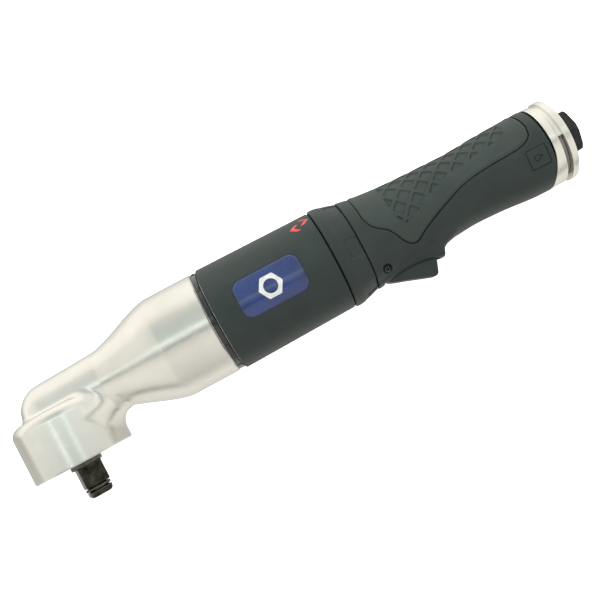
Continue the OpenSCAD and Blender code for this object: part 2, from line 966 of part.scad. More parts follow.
// Felt in the ring-shaped chamber, and behind the window in the deflector
module exhaust_muffler()
    color("tan") {
        collar([muffler_chamber[0] + 6, handle_end + 0.6], muffler_r[1] - 0.1,
               muffler_r[0] + 0.1);
        collar([handle_end + 0.5, groove_end - 0.2], deflector_wall_r - 0.3, hub_r + 0.1);
    }

module deflector_oring()
    color("black")
        collar([286.7, 288.3], hub_r - 0.1, hub_r - 1.2);

// --------------------------------------------------------------- trigger and throttle

module trigger()
    color("darkslategray")
        difference() {
            union() {
                side_plate(trigger_outline, trigger_half_width);
                pin_bar(trigger_half_width, 3.2);
            }
            pin_bar(trigger_half_width + over, trigger_pin_r + run_fit);
            side_plate([[188, 20], [188, 24], [203.5, 29.6], [205.6, 24], [205.6, 24]],
                       trigger_half_width - 1.9);
        }

module trigger_pin()
    color("gainsboro")
        difference() {
            pin_bar(14.6, trigger_pin_r);
            pin_bar(20, 0.7);
        }

module throttle_valve()
    color("silver") {
        across(valve_x, stem_tip - stem_r - 0.05)
            sphere(r = stem_r);
        valve_bore([head_span[0], stem_tip - stem_r - 0.05], stem_r);
        valve_bore(head_span, valve_head_r);
    }

module throttle_spring()
    color("silver")
        across(valve_x, valve_bore_top)
            rotate([90, 0, 0])
                coil_spring(head_span[0] - valve_bore_top, 4.2, 0.5, 5);

module valve_bush()
    color("darkgoldenrod")
        difference() {
            valve_bore(bush_span, valve_bore_r);
            valve_bore([bush_span[0] - over, bush_span[1] + over], stem_r + run_fit);
            valve_bore([bush_span[0] - over, bush_span[0] + 2], 4.4);
        }

module valve_seal()
    color("black")
        difference() {
            valve_bore([bush_span[0] + 0.2, bush_span[0] + 1.9], 4.3);
            valve_bore([bush_span[0] - over, bush_span[0] + 3], stem_r + 0.3);
        }

module valve_seat()
    color("darkslategray")
        difference() {
            valve_bore(seat_span, valve_bore_r);
            valve_bore([seat_span[0] - over, seat_span[1] + over], 3.9);
        }

// ------------------------------------------------------------------ inlet and deflector

module inlet_bushing()
    color("black")
        difference() {
            union() {
                rod([thread_start + 1.6, hub_end + 0.3], thread_r);
                intersection() {
                    hex_bar(hex, inlet_af);
                    on_motor_axis()
                        rotate_extrude()
                            polygon([[0, hex[0]], [inlet_af * 0.6, hex[0]],
                                     [inlet_af * 0.6, hex[1] - 1], [inlet_af * 0.52, hex[1]],
                                     [0, hex[1]]]);
                }
            }
            rod([hex[1] - inlet_depth, hex[1] + over], inlet_r);
            rod([thread_start, hex[1]], 4.4);
        }

// A sintered cup that keeps dirt out of the throttle
module inlet_screen()
    color("goldenrod")
        difference() {
            union() {
                rod([thread_start, thread_start + 1.5], thread_r - 0.1);
                rod([260, thread_start + over], 5.6);
            }
            rod([261, thread_start + 3], 4.4);
        }

module exhaust_deflector()
    color("gainsboro")
        difference() {
            on_motor_axis()
                rotate_extrude()
                    polygon([[deflector_wall_r, deflector[0]],
                             [groove_floor_r, deflector[0]], [groove_floor_r, groove_end],
                             [deflector_r, groove_end], [deflector_r, deflector[1] - 0.8],
                             [deflector_r - 0.8, deflector[1]],
                             [hub_r + run_fit, deflector[1]],
                             [hub_r + run_fit, groove_end + 0.1],
                             [deflector_wall_r, groove_end + 0.1]]);
            sector([deflector[0] - over, groove_end], 190, 350, deflector_wall_r - over,
                   deflector_r + over);
        }

angle_housing();
spindle_cap();
square_drive();
bevel_gear();
spindle_top_bush();
spindle_lower_bush();
socket_retainer();
retainer_oring();
grease_screw();
bevel_pinion();
pinion_front_bearing();
pinion_rear_bush();
impact_anvil();
thrust_washer();
hammer_frame();
front_hammer();
rear_hammer();
hammer_pins();
front_end_plate();
motor_cylinder();
rear_end_plate();
rotor();
rotor_vanes();
front_rotor_bearing();
rear_rotor_bearing();
locating_dowel();
motor_gasket();
tie_screws();
motor_sleeve();
front_ring();
side_badge();
reverse_ring();
reverse_valve();
reverse_key();
detent_ball();
detent_spring();
handle_housing();
grip_overmold();
trigger();
trigger_pin();
throttle_valve();
throttle_spring();
valve_bush();
valve_seat();
valve_seal();
inlet_bushing();
inlet_screen();
exhaust_deflector();
exhaust_muffler();
deflector_oring();
rear_collar();
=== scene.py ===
"""Looks of a right-angle air impact ratchet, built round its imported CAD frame.

Lengths are in millimetres in the row frame until a mesh is made, and metres after that.
"x" runs along the motor axis from the square drive, "drop" is the distance below the
motor axis towards the drive, and "turn" is the angle round the motor axis: 0 faces +Z,
90 degrees faces +Y and -90 degrees faces the drive side.
"""

import json
import math

import bpy
import numpy as np
import openvdb
from mathutils import Matrix, Vector

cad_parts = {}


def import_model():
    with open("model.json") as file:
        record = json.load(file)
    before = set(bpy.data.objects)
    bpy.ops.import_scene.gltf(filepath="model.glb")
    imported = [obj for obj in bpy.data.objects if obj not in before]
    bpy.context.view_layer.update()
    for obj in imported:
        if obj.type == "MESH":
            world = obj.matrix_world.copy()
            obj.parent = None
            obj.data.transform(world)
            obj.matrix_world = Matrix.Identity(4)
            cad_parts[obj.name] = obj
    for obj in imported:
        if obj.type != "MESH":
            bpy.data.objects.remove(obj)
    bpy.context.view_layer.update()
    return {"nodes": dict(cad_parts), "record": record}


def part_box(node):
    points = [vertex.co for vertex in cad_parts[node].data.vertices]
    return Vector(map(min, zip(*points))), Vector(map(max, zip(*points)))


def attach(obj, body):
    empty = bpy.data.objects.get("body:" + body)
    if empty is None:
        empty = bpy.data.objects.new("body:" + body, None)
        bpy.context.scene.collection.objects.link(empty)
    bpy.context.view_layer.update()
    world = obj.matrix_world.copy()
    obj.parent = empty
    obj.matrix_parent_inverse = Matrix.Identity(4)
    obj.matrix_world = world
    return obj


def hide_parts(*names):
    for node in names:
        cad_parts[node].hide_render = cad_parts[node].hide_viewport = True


MM = 0.001
AXIS_Y = 33.5
SHARP_EDGE = math.radians(32)

# Angle head
HEAD_R = 26.7
HEAD_FACE = 31.3
SHOULDER_DROP = 0.5
SHOULDER_ROUND = 5.5
NECK_R = 15.1
DOME_X = -3.4
FLARE = (29.0, 65.0)
FLARE_START_R = 16.5
CASE_R = 28.0
CASE_END = 92.2
SPIGOT_END = 100.0
SPIGOT_R = 26.5
CAP_R = 23.45
CAP_TOP = 23.0
GREASE_X = 34.8

# Square drive
DRIVE_AF = 12.7
DRIVE_TURN = math.radians(66)
SPINDLE_R = 8.5

# Motor sleeve, badge and rings
SLEEVE = (95.6, 160.5)
SLEEVE_R = (28.4, 27.3)
BADGE_CENTRE = (126.5, AXIS_Y + 0.9)
BADGE_SIZE = (36.0, 20.0)
BADGE_CORNER = 5.0
FRONT_RING = (92.4, 95.4)
RING = (160.85, 175.2)
RING_BAND_END = 166.4
RING_R = 27.7
RING_REAR_R = 24.9
RING_BORE_R = 22.6

# Handle and trigger
HANDLE = (175.55, 283.5)
WAIST_X = 235.0
GRIP_THICKNESS = 2.2
GRIP_EDGE = [
    (182.4, 9.1), (184.0, 4.3), (187, 1.1), (190.5, -1.4), (193.3, -5.2), (196, -10.2),
    (199.5, -13.2), (203, -13.2), (208, -10.3), (216, -6.6), (225, -3), (234, 0.1),
    (243, 1.8), (254, 2.6), (264, 2.9), (271, 3.9), (275.5, 6.6), (277.4, 11.7),
]
BOSS_BOTTOM = [
    (170, 24.4), (183.4, 24.2), (191.6, 23.5), (199.9, 23.9), (207.1, 25.3), (212.4, 26.6),
    (213.6, 25.6), (214.8, 23.0), (218.2, 20.7), (222, 19.0), (226, 16.0), (232, 8.0),
]
PATCH_EDGE = [
    (196, 7.0), (200, -3.1), (206, -2.1), (222, 6.2), (231, 8.2), (239, 9.6), (252, 11.6),
    (264, 12.4), (270, 14.5),
]
TRIGGER_OUTLINE = [
    (180.0, 19.0), (180.2, 22.0), (181.9, 25.2), (192.0, 28.9), (202.6, 32.8),
    (204.6, 33.1), (205.9, 32.2), (207.4, 28.6), (208.2, 26.3), (208.0, 22.3),
    (206.5, 21.9), (198.0, 21.6), (190.0, 21.0), (186.0, 17.0), (183.5, 15.6), (181.0, 16.4),
]
PIVOT = (182.5, 18.5)
TRIGGER_HALF_WIDTH = 6.7
VALVE_X = 199.0

# Rear collar, deflector and inlet
COLLAR_END = 288.2
COLLAR_R = 21.8
COLLAR_LINE = [(283.6, -2), (283.2, -8), (282.2, -13), (280.9, -17.5), (279.6, -22), (279.0, -30)]
DEFLECTOR = (288.5, 294.9)
DEFLECTOR_R = 22.4
WINDOW_END = 291.1
SKIRT_R = 20.85
HEX = (295.2, 303.8)
HEX_AF = 22.0
INLET_R = 5.72


# ------------------------------------------------------------------------ shape helpers

def ease(t):
    """A step from 0 to 1 with level ends."""
    t = np.clip(t, 0.0, 1.0)
    return t * t * (3 - 2 * t)


def between(value, start, end):
    """How far value has gone from start to end, from 0 to 1."""
    return np.clip((value - start) / (end - start), 0.0, 1.0)


def around(x, radius, turn):
    """Points at x and radius round the motor axis."""
    x, radius, turn = np.broadcast_arrays(x, radius, turn)
    return np.stack([x, AXIS_Y + radius * np.sin(turn), radius * np.cos(turn)], -1)


def round_drive(drop, radius, turn):
    """Points at drop and radius round the drive axis."""
    drop, radius, turn = np.broadcast_arrays(drop, radius, turn)
    return np.stack([radius * np.sin(turn), AXIS_Y - drop, radius * np.cos(turn)], -1)


def beside_drive(x):
    """A place like round_drive, moved to a line at x that runs parallel to the drive."""
    def place(drop, radius, turn):
        return round_drive(drop, radius, turn) + np.array([x, 0, 0])
    return place


def full_turn(count):
    """Evenly spaced angles round a full turn."""
    return np.arange(count) * (2 * math.pi / count)


def volume(points, triangles):
    """The signed volume inside a closed set of triangles."""
    a, b, c = (points[triangles[:, i]] for i in range(3))
    return float(np.einsum("ij,ij->i", a, np.cross(b, c)).sum()) / 6


def make_mesh(name, points, faces):
    """A closed mesh from points in millimetres, with its faces turned outward."""
    points = np.asarray(points, float)
    fans = []
    for face in faces:
        fans += [(face[0], face[i], face[i + 1]) for i in range(1, len(face) - 1)]
    centred = points - points.mean(0)
    if volume(centred, np.array(fans)) < 0:
        faces = [face[::-1] for face in faces]
    mesh = bpy.data.meshes.new(name)
    mesh.from_pydata((points * MM).tolist(), [], [list(map(int, f)) for f in faces])
    mesh.update()
    return mesh


def shade(mesh):
    """Smooth shading that keeps the sharp edges crisp."""
    mesh.polygons.foreach_set("use_smooth", np.ones(len(mesh.polygons), bool))
    mesh.set_sharp_from_angle(angle=SHARP_EDGE)
    return mesh


def make_object(name, mesh):
    """An object in the scene that holds the mesh."""
    piece = bpy.data.objects.new(name, mesh)
    bpy.context.scene.collection.objects.link(piece)
    return piece


def wound(rings, closed=False):
    """Points and faces of a solid skinned over rings of equal length.

    A closed one joins its last ring to its first; an open one is capped at both ends."""
    rings = np.asarray(rings, float)
    count, sides = rings.shape[:2]
    index = np.arange(count * sides).reshape(count, sides)
    above = np.roll(index, -1, 0) if closed else index[1:]
    below = index if closed else index[:-1]
    quads = np.stack([below, np.roll(below, -1, 1), np.roll(above, -1, 1), above], -1)
    faces = quads.reshape(-1, 4).tolist()
    if not closed:
        faces += [index[0].tolist()[::-1], index[-1].tolist()]
    return rings.reshape(-1, 3), faces


def solid(name, rings, closed=False):
    """An object skinned over rings, as in wound."""
    return make_object(name, make_mesh(name, *wound(rings, closed)))


def turned(name, profile, sides=180, place=around):
    """A ring turned from a closed profile of (along, radius) pairs."""
    turn = full_turn(sides)
    return solid(name, [place(a, r, turn) for a, r in profile], closed=True)


def rod(start, end, radius, sides=96, place=around):
    """A plain cylinder, used only to cut or to fill."""
    turn = full_turn(sides)
    return solid("rod", [place(start, radius, turn), place(end, radius, turn)])


def prism(outline, low, high):
    """An outline of (x, y) pairs run from z = low to z = high."""
    outline = np.asarray(outline, float)
    rings = [np.column_stack([outline, np.full(len(outline), z)]) for z in (low, high)]
    return solid("prism", rings)


def combine(piece, other, operation="DIFFERENCE"):
    """A Boolean applied to the piece's mesh. The other object is used up."""
    step = piece.modifiers.new("combine", "BOOLEAN")
    step.operation = operation
    step.solver = "MANIFOLD"
    step.object = other
    graph = bpy.context.evaluated_depsgraph_get()
    made = bpy.data.meshes.new_from_object(piece.evaluated_get(graph), depsgraph=graph)
    piece.modifiers.clear()
    piece.data = made
    bpy.data.objects.remove(other)
    if not len(made.polygons):
        raise RuntimeError(f"a {operation} emptied {piece.name}")
    return piece


def cut(piece, *cutters):
    for cutter in cutters:
        combine(piece, cutter)
    return piece


def spline(points, per_span=8, closed=False):
    """A Catmull-Rom curve through points."""
    points = np.asarray(points, float)
    count = len(points)
    if closed:
        spans, padded = count, np.vstack([points[-1:], points, points[:2]])
    else:
        spans = count - 1
        padded = np.vstack([2 * points[0] - points[1], points, 2 * points[-1] - points[-2]])
    t = (np.arange(per_span) / per_span)[:, None]
    curve = []
    for i in range(spans):
        a, b, c, d = padded[i:i + 4]
        curve.append(0.5 * (2 * b + (c - a) * t + (2 * a - 5 * b + 4 * c - d) * t ** 2
                            + (3 * b - a - 3 * c + d) * t ** 3))
    if not closed:
        curve.append(points[-1:])
    return np.vstack(curve)


def rounded_box(half_width, half_height, corner, steps=8):
    """The outline of a rounded rectangle about the origin."""
    outline = []
    for quarter in range(4):
        for step in range(steps + 1):
            angle = math.pi / 2 * (quarter + step / steps)
            side_x = 1 if quarter in (0, 3) else -1
            side_y = 1 if quarter in (0, 1) else -1
            outline.append((side_x * (half_width - corner) + corner * math.cos(angle),
                            side_y * (half_height - corner) + corner * math.sin(angle)))
    return np.array(outline)


def outline_distance(points, outline):
    """Distance from 2-D points to a closed outline, negative inside it."""
    points = np.asarray(points, float)
    flat = points.reshape(-1, 2)
    nearest = np.full(len(flat), 1e9)
    inside = np.zeros(len(flat), bool)
    for start, end in zip(outline, np.roll(outline, -1, 0)):
        edge = end - start
        length = edge @ edge
        if length < 1e-12:
            continue
        offset = flat - start
        along = np.clip(offset @ edge / length, 0, 1)
        gap = offset - along[:, None] * edge
        nearest = np.minimum(nearest, np.einsum("ij,ij->i", gap, gap))
        crosses = (start[1] > flat[:, 1]) != (end[1] > flat[:, 1])
        if start[1] != end[1]:
            at = start[0] + (flat[:, 1] - start[1]) * edge[0] / edge[1]
            inside ^= crosses & (flat[:, 0] < at)
    return (np.sqrt(nearest) * np.where(inside, -1, 1)).reshape(points.shape[:-1])


def joined(a, b, fillet):
    """Two distance fields joined with a round fillet."""
    u = np.maximum(fillet - a, 0)
    v = np.maximum(fillet - b, 0)
    return np.maximum(fillet, np.minimum(a, b)) - np.hypot(u, v)


def carved(a, b, fillet):
    """Where two distance fields overlap, with their common edge rounded."""
    u = np.maximum(fillet + a, 0)
    v = np.maximum(fillet + b, 0)
    return np.minimum(-fillet, np.maximum(a, b)) + np.hypot(u, v)


def skinned(name, distance, low, high, step):
    """The surface where a distance field is zero, with its points pulled onto it."""
    low = np.asarray(low, float)
    shape = np.ceil((np.asarray(high, float) - low) / step).astype(int) + 1
    axes = [low[i] + step * np.arange(shape[i]) for i in range(3)]
    field = distance(np.stack(np.meshgrid(*axes, indexing="ij"), -1))
    grid = openvdb.FloatGrid(background=3 * step)
    grid.copyFromArray(field.astype(np.float32))
    points, quads = grid.convertToQuads(isovalue=0.0)
    points = points * step + low
    reach = step * 0.05
    for _ in range(3):
        value = distance(points)
        slope = np.stack([distance(points + reach * axis) - distance(points - reach * axis)
                          for axis in np.eye(3)], -1) / (2 * reach)
        steep = np.maximum(np.einsum("ij,ij->i", slope, slope), 0.25)
        points = points - slope * (value / steep)[:, None]
    return make_object(name, make_mesh(name, points, quads.tolist()))


def done(piece, body, slot, material, *nodes):
    """Shades a finished piece, gives it its material, puts it under its body and hides the CAD
    nodes it replaces.
    """
    shade(piece.data)
    piece.data.materials.clear()
    piece.data.materials.append(material)
    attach(piece, body)
    if nodes:
        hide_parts(*nodes)
    return piece


# ---------------------------------------------------------------------------- materials

class Shader:
    """A Principled material and the few nodes that the finishes here are made of."""

    def __init__(self, name, **sockets):
        self.material = bpy.data.materials.new(name)
        self.material.use_nodes = True
        self.nodes = self.material.node_tree.nodes
        self.links = self.material.node_tree.links
        self.bsdf = self.nodes["Principled BSDF"]
        for socket, value in sockets.items():
            self.bsdf.inputs[socket.replace("_", " ")].default_value = value

    def wire(self, output, target):
        self.links.new(output, target)

    def place(self, scale=(1, 1, 1), turn=(0, 0, 0)):
        coordinates = self.nodes.new("ShaderNodeTexCoord")
        mapping = self.nodes.new("ShaderNodeMapping")
        mapping.inputs["Scale"].default_value = scale
        mapping.inputs["Rotation"].default_value = turn
        self.wire(coordinates.outputs["Object"], mapping.inputs["Vector"])
        return mapping.outputs["Vector"]

    def noise(self, scale, detail=3, roughness=0.5, stretch=(1, 1, 1)):
        texture = self.nodes.new("ShaderNodeTexNoise")
        texture.inputs["Scale"].default_value = scale
        texture.inputs["Detail"].default_value = detail
        texture.inputs["Roughness"].default_value = roughness
        self.wire(self.place(stretch), texture.inputs["Vector"])
        return texture.outputs["Fac"]

    def spread(self, factor, low, high, start=0.3, end=0.7):
        """A number from low to high as the factor goes from start to end."""
        node = self.nodes.new("ShaderNodeMapRange")
        for socket, value in (("From Min", start), ("From Max", end),
                              ("To Min", low), ("To Max", high)):
            node.inputs[socket].default_value = value
        self.wire(factor, node.inputs["Value"])
        return node.outputs["Result"]

    def colours(self, factor, *stops):
        """A colour ramp with (position, (r, g, b)) stops."""
        node = self.nodes.new("ShaderNodeValToRGB")
        ramp = node.color_ramp
        while len(ramp.elements) < len(stops):
            ramp.elements.new(0.5)
        for element, (position, colour) in zip(ramp.elements, stops):
            element.position = position
            element.color = (*colour, 1)
        self.wire(factor, node.inputs["Fac"])
        return node.outputs["Color"]

    def mixed(self, factor, a, b):
        node = self.nodes.new("ShaderNodeMix")
        node.data_type = "RGBA"
        self.wire(factor, node.inputs[0])
        for value, target in ((a, node.inputs[6]), (b, node.inputs[7])):
            if isinstance(value, tuple):
                target.default_value = (*value, 1)
            else:
                self.wire(value, target)
        return node.outputs[2]

    def worn_edges(self, start=0.52, end=0.62):
        """Near 1 on edges that stand proud."""
        geometry = self.nodes.new("ShaderNodeNewGeometry")
        return self.spread(geometry.outputs["Pointiness"], 0, 1, start, end)

    def bumps(self, *layers):
        """Stacked bumps, each (height, strength, depth in metres)."""
        previous = None
        for height, strength, depth in layers:
            node = self.nodes.new("ShaderNodeBump")
            node.inputs["Strength"].default_value = strength
            node.inputs["Distance"].default_value = depth
            self.wire(height, node.inputs["Height"])
            if previous:
                self.wire(previous, node.inputs["Normal"])
            previous = node.outputs["Normal"]
        self.wire(previous, self.bsdf.inputs["Normal"])

    def colour(self, output):
        self.wire(output, self.bsdf.inputs["Base Color"])

    def roughness(self, output):
        self.wire(output, self.bsdf.inputs["Roughness"])


def metal(name, light, dark, rough, grain_scale=900, stretch=(1, 1, 1), blotch=45,
          bump=0.12):
    """A bare metal whose tone and roughness drift, with a fine directional grain."""
    s = Shader(name, Metallic=1.0)
    patches = s.noise(blotch, 4, 0.55)
    grain = s.noise(grain_scale, 3, 0.6, stretch)
    s.colour(s.colours(patches, (0.3, dark), (0.7, light)))
    s.roughness(s.spread(grain, rough[0], rough[1]))
    s.bumps((grain, bump, 0.00006))
    return s.material


def moulded(name, base, lift, rough, grain_scale=2600, bump=0.35, depth=0.00005):
    """Moulded plastic or rubber with a spark-eroded grain."""
    s = Shader(name, Specular_IOR_Level=0.5)
    patches = s.noise(70, 4, 0.6)
    grain = s.noise(grain_scale, 2, 0.5)
    s.colour(s.colours(patches, (0.3, base), (0.72, lift)))
    s.roughness(s.spread(patches, rough[0], rough[1]))
    s.bumps((grain, bump, depth))
    return s.material


def cast_aluminium():
    """Linished casting: fine brushed lines over a soft, slightly uneven surface."""
    s = Shader("cast_aluminium", Metallic=1.0)
    patches = s.noise(38, 5, 0.55)
    lines = s.noise(260, 4, 0.65, (1, 9, 9))
    fine = s.noise(1500, 2, 0.5)
    s.colour(s.colours(patches, (0.28, (0.74, 0.715, 0.65)), (0.72, (0.83, 0.81, 0.755))))
    s.roughness(s.spread(lines, 0.16, 0.28))
    s.bumps((patches, 0.08, 0.0003), (lines, 0.22, 0.00010), (fine, 0.15, 0.00004))
    return s.material


def turned_aluminium():
    """Turned aluminium: closely spaced tool marks that run round the motor axis."""
    s = Shader("turned_aluminium", Metallic=1.0)
    patches = s.noise(60, 4, 0.5)
    marks = s.noise(2400, 2, 0.5, (1, 0.02, 0.02))
    s.colour(s.colours(patches, (0.3, (0.78, 0.76, 0.69)), (0.7, (0.87, 0.85, 0.79))))
    s.roughness(s.spread(marks, 0.24, 0.34))
    s.bumps((marks, 0.22, 0.00005))
    return s.material


def black_oxide():
    """Blackened steel, brown-tinged, rubbed bright along its edges."""
    s = Shader("black_oxide_steel", Metallic=1.0)
    patches = s.noise(220, 5, 0.6)
    scratches = s.noise(700, 3, 0.7, (1, 0.15, 1))
    tone = s.colours(patches, (0.35, (0.008, 0.008, 0.008)), (0.58, (0.050, 0.048, 0.034)),
                     (0.80, (0.13, 0.125, 0.09)))
    s.colour(s.mixed(s.worn_edges(0.54, 0.64), tone, (0.30, 0.29, 0.27)))
    s.roughness(s.spread(scratches, 0.18, 0.34))
    s.bumps((patches, 0.18, 0.0002), (scratches, 0.15, 0.00006))
    return s.material


def black_zinc():
    """Dark plated steel with a fine grain, paler along its edges."""
    s = Shader("black_zinc_steel", Metallic=0.85)
    patches = s.noise(160, 4, 0.6)
    grain = s.noise(1100, 3, 0.6)
    tone = s.colours(patches, (0.3, (0.022, 0.023, 0.024)), (0.7, (0.042, 0.043, 0.042)))
    s.colour(s.mixed(s.worn_edges(0.53, 0.62), tone, (0.16, 0.16, 0.155)))
    s.roughness(s.spread(grain, 0.30, 0.46))
    s.bumps((grain, 0.25, 0.00008))
    return s.material


def gloss_black():
    """Black gloss under a clear coat."""
    s = Shader("gloss_black", Coat_Weight=0.6, Coat_Roughness=0.08)
    patches = s.noise(120, 3, 0.5)
    s.colour(s.colours(patches, (0.3, (0.006, 0.007, 0.008)), (0.7, (0.012, 0.014, 0.015))))
    s.roughness(s.spread(patches, 0.16, 0.26))
    s.bumps((patches, 0.08, 0.0001))
    return s.material


def badge_blue():
    """Deep blue print under a clear dome, in soft uneven patches."""
    s = Shader("badge_blue", Coat_Weight=1.0, Coat_Roughness=0.06)
    patches = s.noise(90, 3, 0.5)
    fleck = s.noise(2600, 2, 0.5)
    s.colour(s.colours(patches, (0.25, (0.001, 0.010, 0.075)), (0.75, (0.002, 0.026, 0.150))))
    s.roughness(s.spread(fleck, 0.22, 0.34))
    s.bumps((fleck, 0.05, 0.00004))
    return s.material


def print_ink(name, base, lift, rough):
    """A thin printed colour with a slight gloss."""
    s = Shader(name, Coat_Weight=0.4, Coat_Roughness=0.15)
    patches = s.noise(500, 3, 0.55)
    s.colour(s.colours(patches, (0.3, base), (0.7, lift)))
    s.roughness(s.spread(patches, rough[0], rough[1]))
    s.bumps((patches, 0.06, 0.00004))
    return s.material


def felt():
    """Grey pressed fibre."""
    s = Shader("muffler_felt", Sheen_Weight=0.3)
    fibres = s.noise(1400, 5, 0.7, (1, 1, 0.4))
    s.colour(s.colours(fibres, (0.3, (0.17, 0.17, 0.155)), (0.7, (0.34, 0.335, 0.31))))
    s.roughness(s.spread(fibres, 0.85, 0.98))
    s.bumps((fibres, 0.8, 0.0003))
    return s.material


def make_materials():
    """Every shared material by its name."""
    return {
        "cast_aluminium": cast_aluminium(),
        "machined_aluminium": turned_aluminium(),
        "black_oxide_steel": black_oxide(),
        "black_zinc_steel": black_zinc(),
        "gear_steel": metal("gear_steel", (0.46, 0.45, 0.43), (0.32, 0.31, 0.30),
                            (0.26, 0.40)),
        "ground_steel": metal("ground_steel", (0.66, 0.65, 0.63), (0.52, 0.51, 0.50),
                              (0.12, 0.24), stretch=(1, 12, 12)),
        "motor_iron": metal("motor_iron", (0.40, 0.39, 0.37), (0.28, 0.27, 0.26),
                            (0.34, 0.48)),
        "bronze": metal("bronze", (0.62, 0.40, 0.20), (0.46, 0.28, 0.13), (0.30, 0.44)),
        "housing_plastic": moulded("housing_plastic", (0.0100, 0.0185, 0.0160),
                                   (0.0165, 0.0275, 0.0240), (0.46, 0.54)),
        "grip_rubber": moulded("grip_rubber", (0.0200, 0.0310, 0.0270),
                               (0.0300, 0.0430, 0.0380), (0.50, 0.60), 2000, 0.5,
                               0.00006),
        "gloss_black": gloss_black(),
        "badge_print": badge_blue(),
        "seal_rubber": moulded("seal_rubber", (0.012, 0.012, 0.012),
                               (0.020, 0.020, 0.020), (0.45, 0.6)),
        "vane_composite": moulded("vane_composite", (0.16, 0.085, 0.040),
                                  (0.24, 0.13, 0.065), (0.45, 0.6)),
        "valve_resin": moulded("valve_resin", (0.55, 0.53, 0.48), (0.65, 0.63, 0.58),
                               (0.35, 0.5)),
        "muffler_felt": felt(),
    }


# --------------------------------------------------------------------------- angle head

def neck_radius(x):
    """The neck's radius at x, and the flare's up to the case."""
    run = between(x, *FLARE)
    flare = FLARE_START_R + (CASE_R - FLARE_START_R) * (run + ease(run)) / 2
    tube = NECK_R + (FLARE_START_R - NECK_R) * between(x, DOME_X, FLARE[0])
    return np.where(x < FLARE[0], tube, flare)


def head_distance(p):
    """The gear head, the neck and the flared case as one casting."""
    x, drop, z = p[..., 0], AXIS_Y - p[..., 1], p[..., 2]
    side = np.hypot(x, z) - (HEAD_R - SHOULDER_ROUND)
    over = (SHOULDER_DROP + SHOULDER_ROUND) - drop
    head = (np.minimum(np.maximum(side, over), 0)
            + np.hypot(np.maximum(side, 0), np.maximum(over, 0)) - SHOULDER_ROUND)
    out = np.hypot(drop, z)
    slope = (neck_radius(x + 0.1) - neck_radius(x - 0.1)) / 0.2
    tube = (out - neck_radius(x)) / np.sqrt(1 + slope ** 2)
    dome = np.hypot(np.minimum(x - DOME_X, 0), out) - NECK_R
    neck = np.where(x < DOME_X, dome, tube)
    low_side = ease(between(drop, 1, 14)) * ease(between(x, -4, 14))
    return joined(head, neck, 3.2 + 7.3 * low_side)


def angle_housing(material):
    """The casting, faced off below and bored for the spindle, pinion and hammers."""
    piece = skinned("angle_housing", head_distance, (-29, -1.5, -30.5), (94.5, 63, 30.5), 0.5)
    below = prism([(-40, -10), (60, -10), (60, AXIS_Y - HEAD_FACE), (-40, AXIS_Y - HEAD_FACE)],
                  -40, 40)
    beyond = rod(CASE_END, 110, 40)
    cut(piece, below, beyond)
    rim = turned("rim", [(HEAD_FACE - 0.8, HEAD_R + 0.06), (HEAD_FACE - 0.8, HEAD_R + 3),
                         (HEAD_FACE + 2, HEAD_R + 3), (HEAD_FACE + 2, HEAD_R - 2.74)],
                 240, round_drive)
    edge = turned("edge", [(CASE_END - 0.7, CASE_R + 0.05), (CASE_END - 0.7, CASE_R + 3),
                           (CASE_END + 2, CASE_R + 3), (CASE_END + 2, CASE_R - 2.65)], 240)
    cut(piece, rim, edge)
    combine(piece, rod(CASE_END - 8, SPIGOT_END, SPIGOT_R, 180), "UNION")
    grease = rod(12.0, 24.0, 2.5, 48, beside_drive(GREASE_X))
    recess = rod(18.3, 24.0, 3.3, 48, beside_drive(GREASE_X))
    cut(piece, rod(SHOULDER_DROP + 4.5, CAP_TOP + 1, 21.5, 120, round_drive),
        rod(CAP_TOP, HEAD_FACE + 3, CAP_R, 180, round_drive),
        rod(-11.6, 6, 7.5, 72, round_drive), rod(7, 20, 11), rod(19, 47, 11.5),
        rod(46, 63, 12), rod(62, SPIGOT_END + 2, 24.5, 144), grease, recess)
    return done(piece, "housing", "cast_aluminium", material, "angle_housing")


def square_section(beyond, half, corner):
    """The drive's square as a ring of points beyond its shoulder."""
    steps = 12
    outline = rounded_box(half, half, corner, steps)
    c, s = math.cos(DRIVE_TURN), math.sin(DRIVE_TURN)
    u = outline[:, 0] * c - outline[:, 1] * s
    v = outline[:, 0] * s + outline[:, 1] * c
    return np.column_stack([u, np.full(len(u), -beyond), v])


def square_drive(material):
    """Journal, shoulder collar and square, with the ring's groove and a chamfered nose."""
    half = DRIVE_AF / 2

    def round_ring(beyond, radius):
        outline = rounded_box(radius, radius, radius * 0.999, 12)
        return np.column_stack([outline[:, 0], np.full(len(outline), -beyond), outline[:, 1]])

    rings = [round_ring(-33.0, 5.5), round_ring(-28.0, 5.5), round_ring(-28.0, SPINDLE_R),
             round_ring(-0.35, SPINDLE_R), round_ring(0.0, SPINDLE_R - 0.35)]
    body = [(0.02, half + 0.35, 1.6), (0.45, half + 0.10, 1.1), (0.9, half, 0.9),
            (10.4, half, 0.9), (10.85, half - 0.10, 1.0), (11.1, half - 0.38, 1.3)]
    rings += [square_section(*section) for section in body]
    rings += [round_ring(11.12, 5.5), round_ring(11.4, 4.9), round_ring(13.1, 4.9),
              round_ring(13.38, 5.5)]
    nose = [(13.4, half - 0.55, 1.5), (13.7, half - 0.3, 1.3), (15.3, half - 0.5, 1.5),
            (16.3, half - 1.0, 1.9), (16.6, half - 1.4, 2.1), (16.7, half - 1.8, 2.2)]
    rings += [square_section(*section) for section in nose]
    piece = solid("square_drive", rings)
    return done(piece, "spindle", "black_oxide_steel", material, "square_drive")


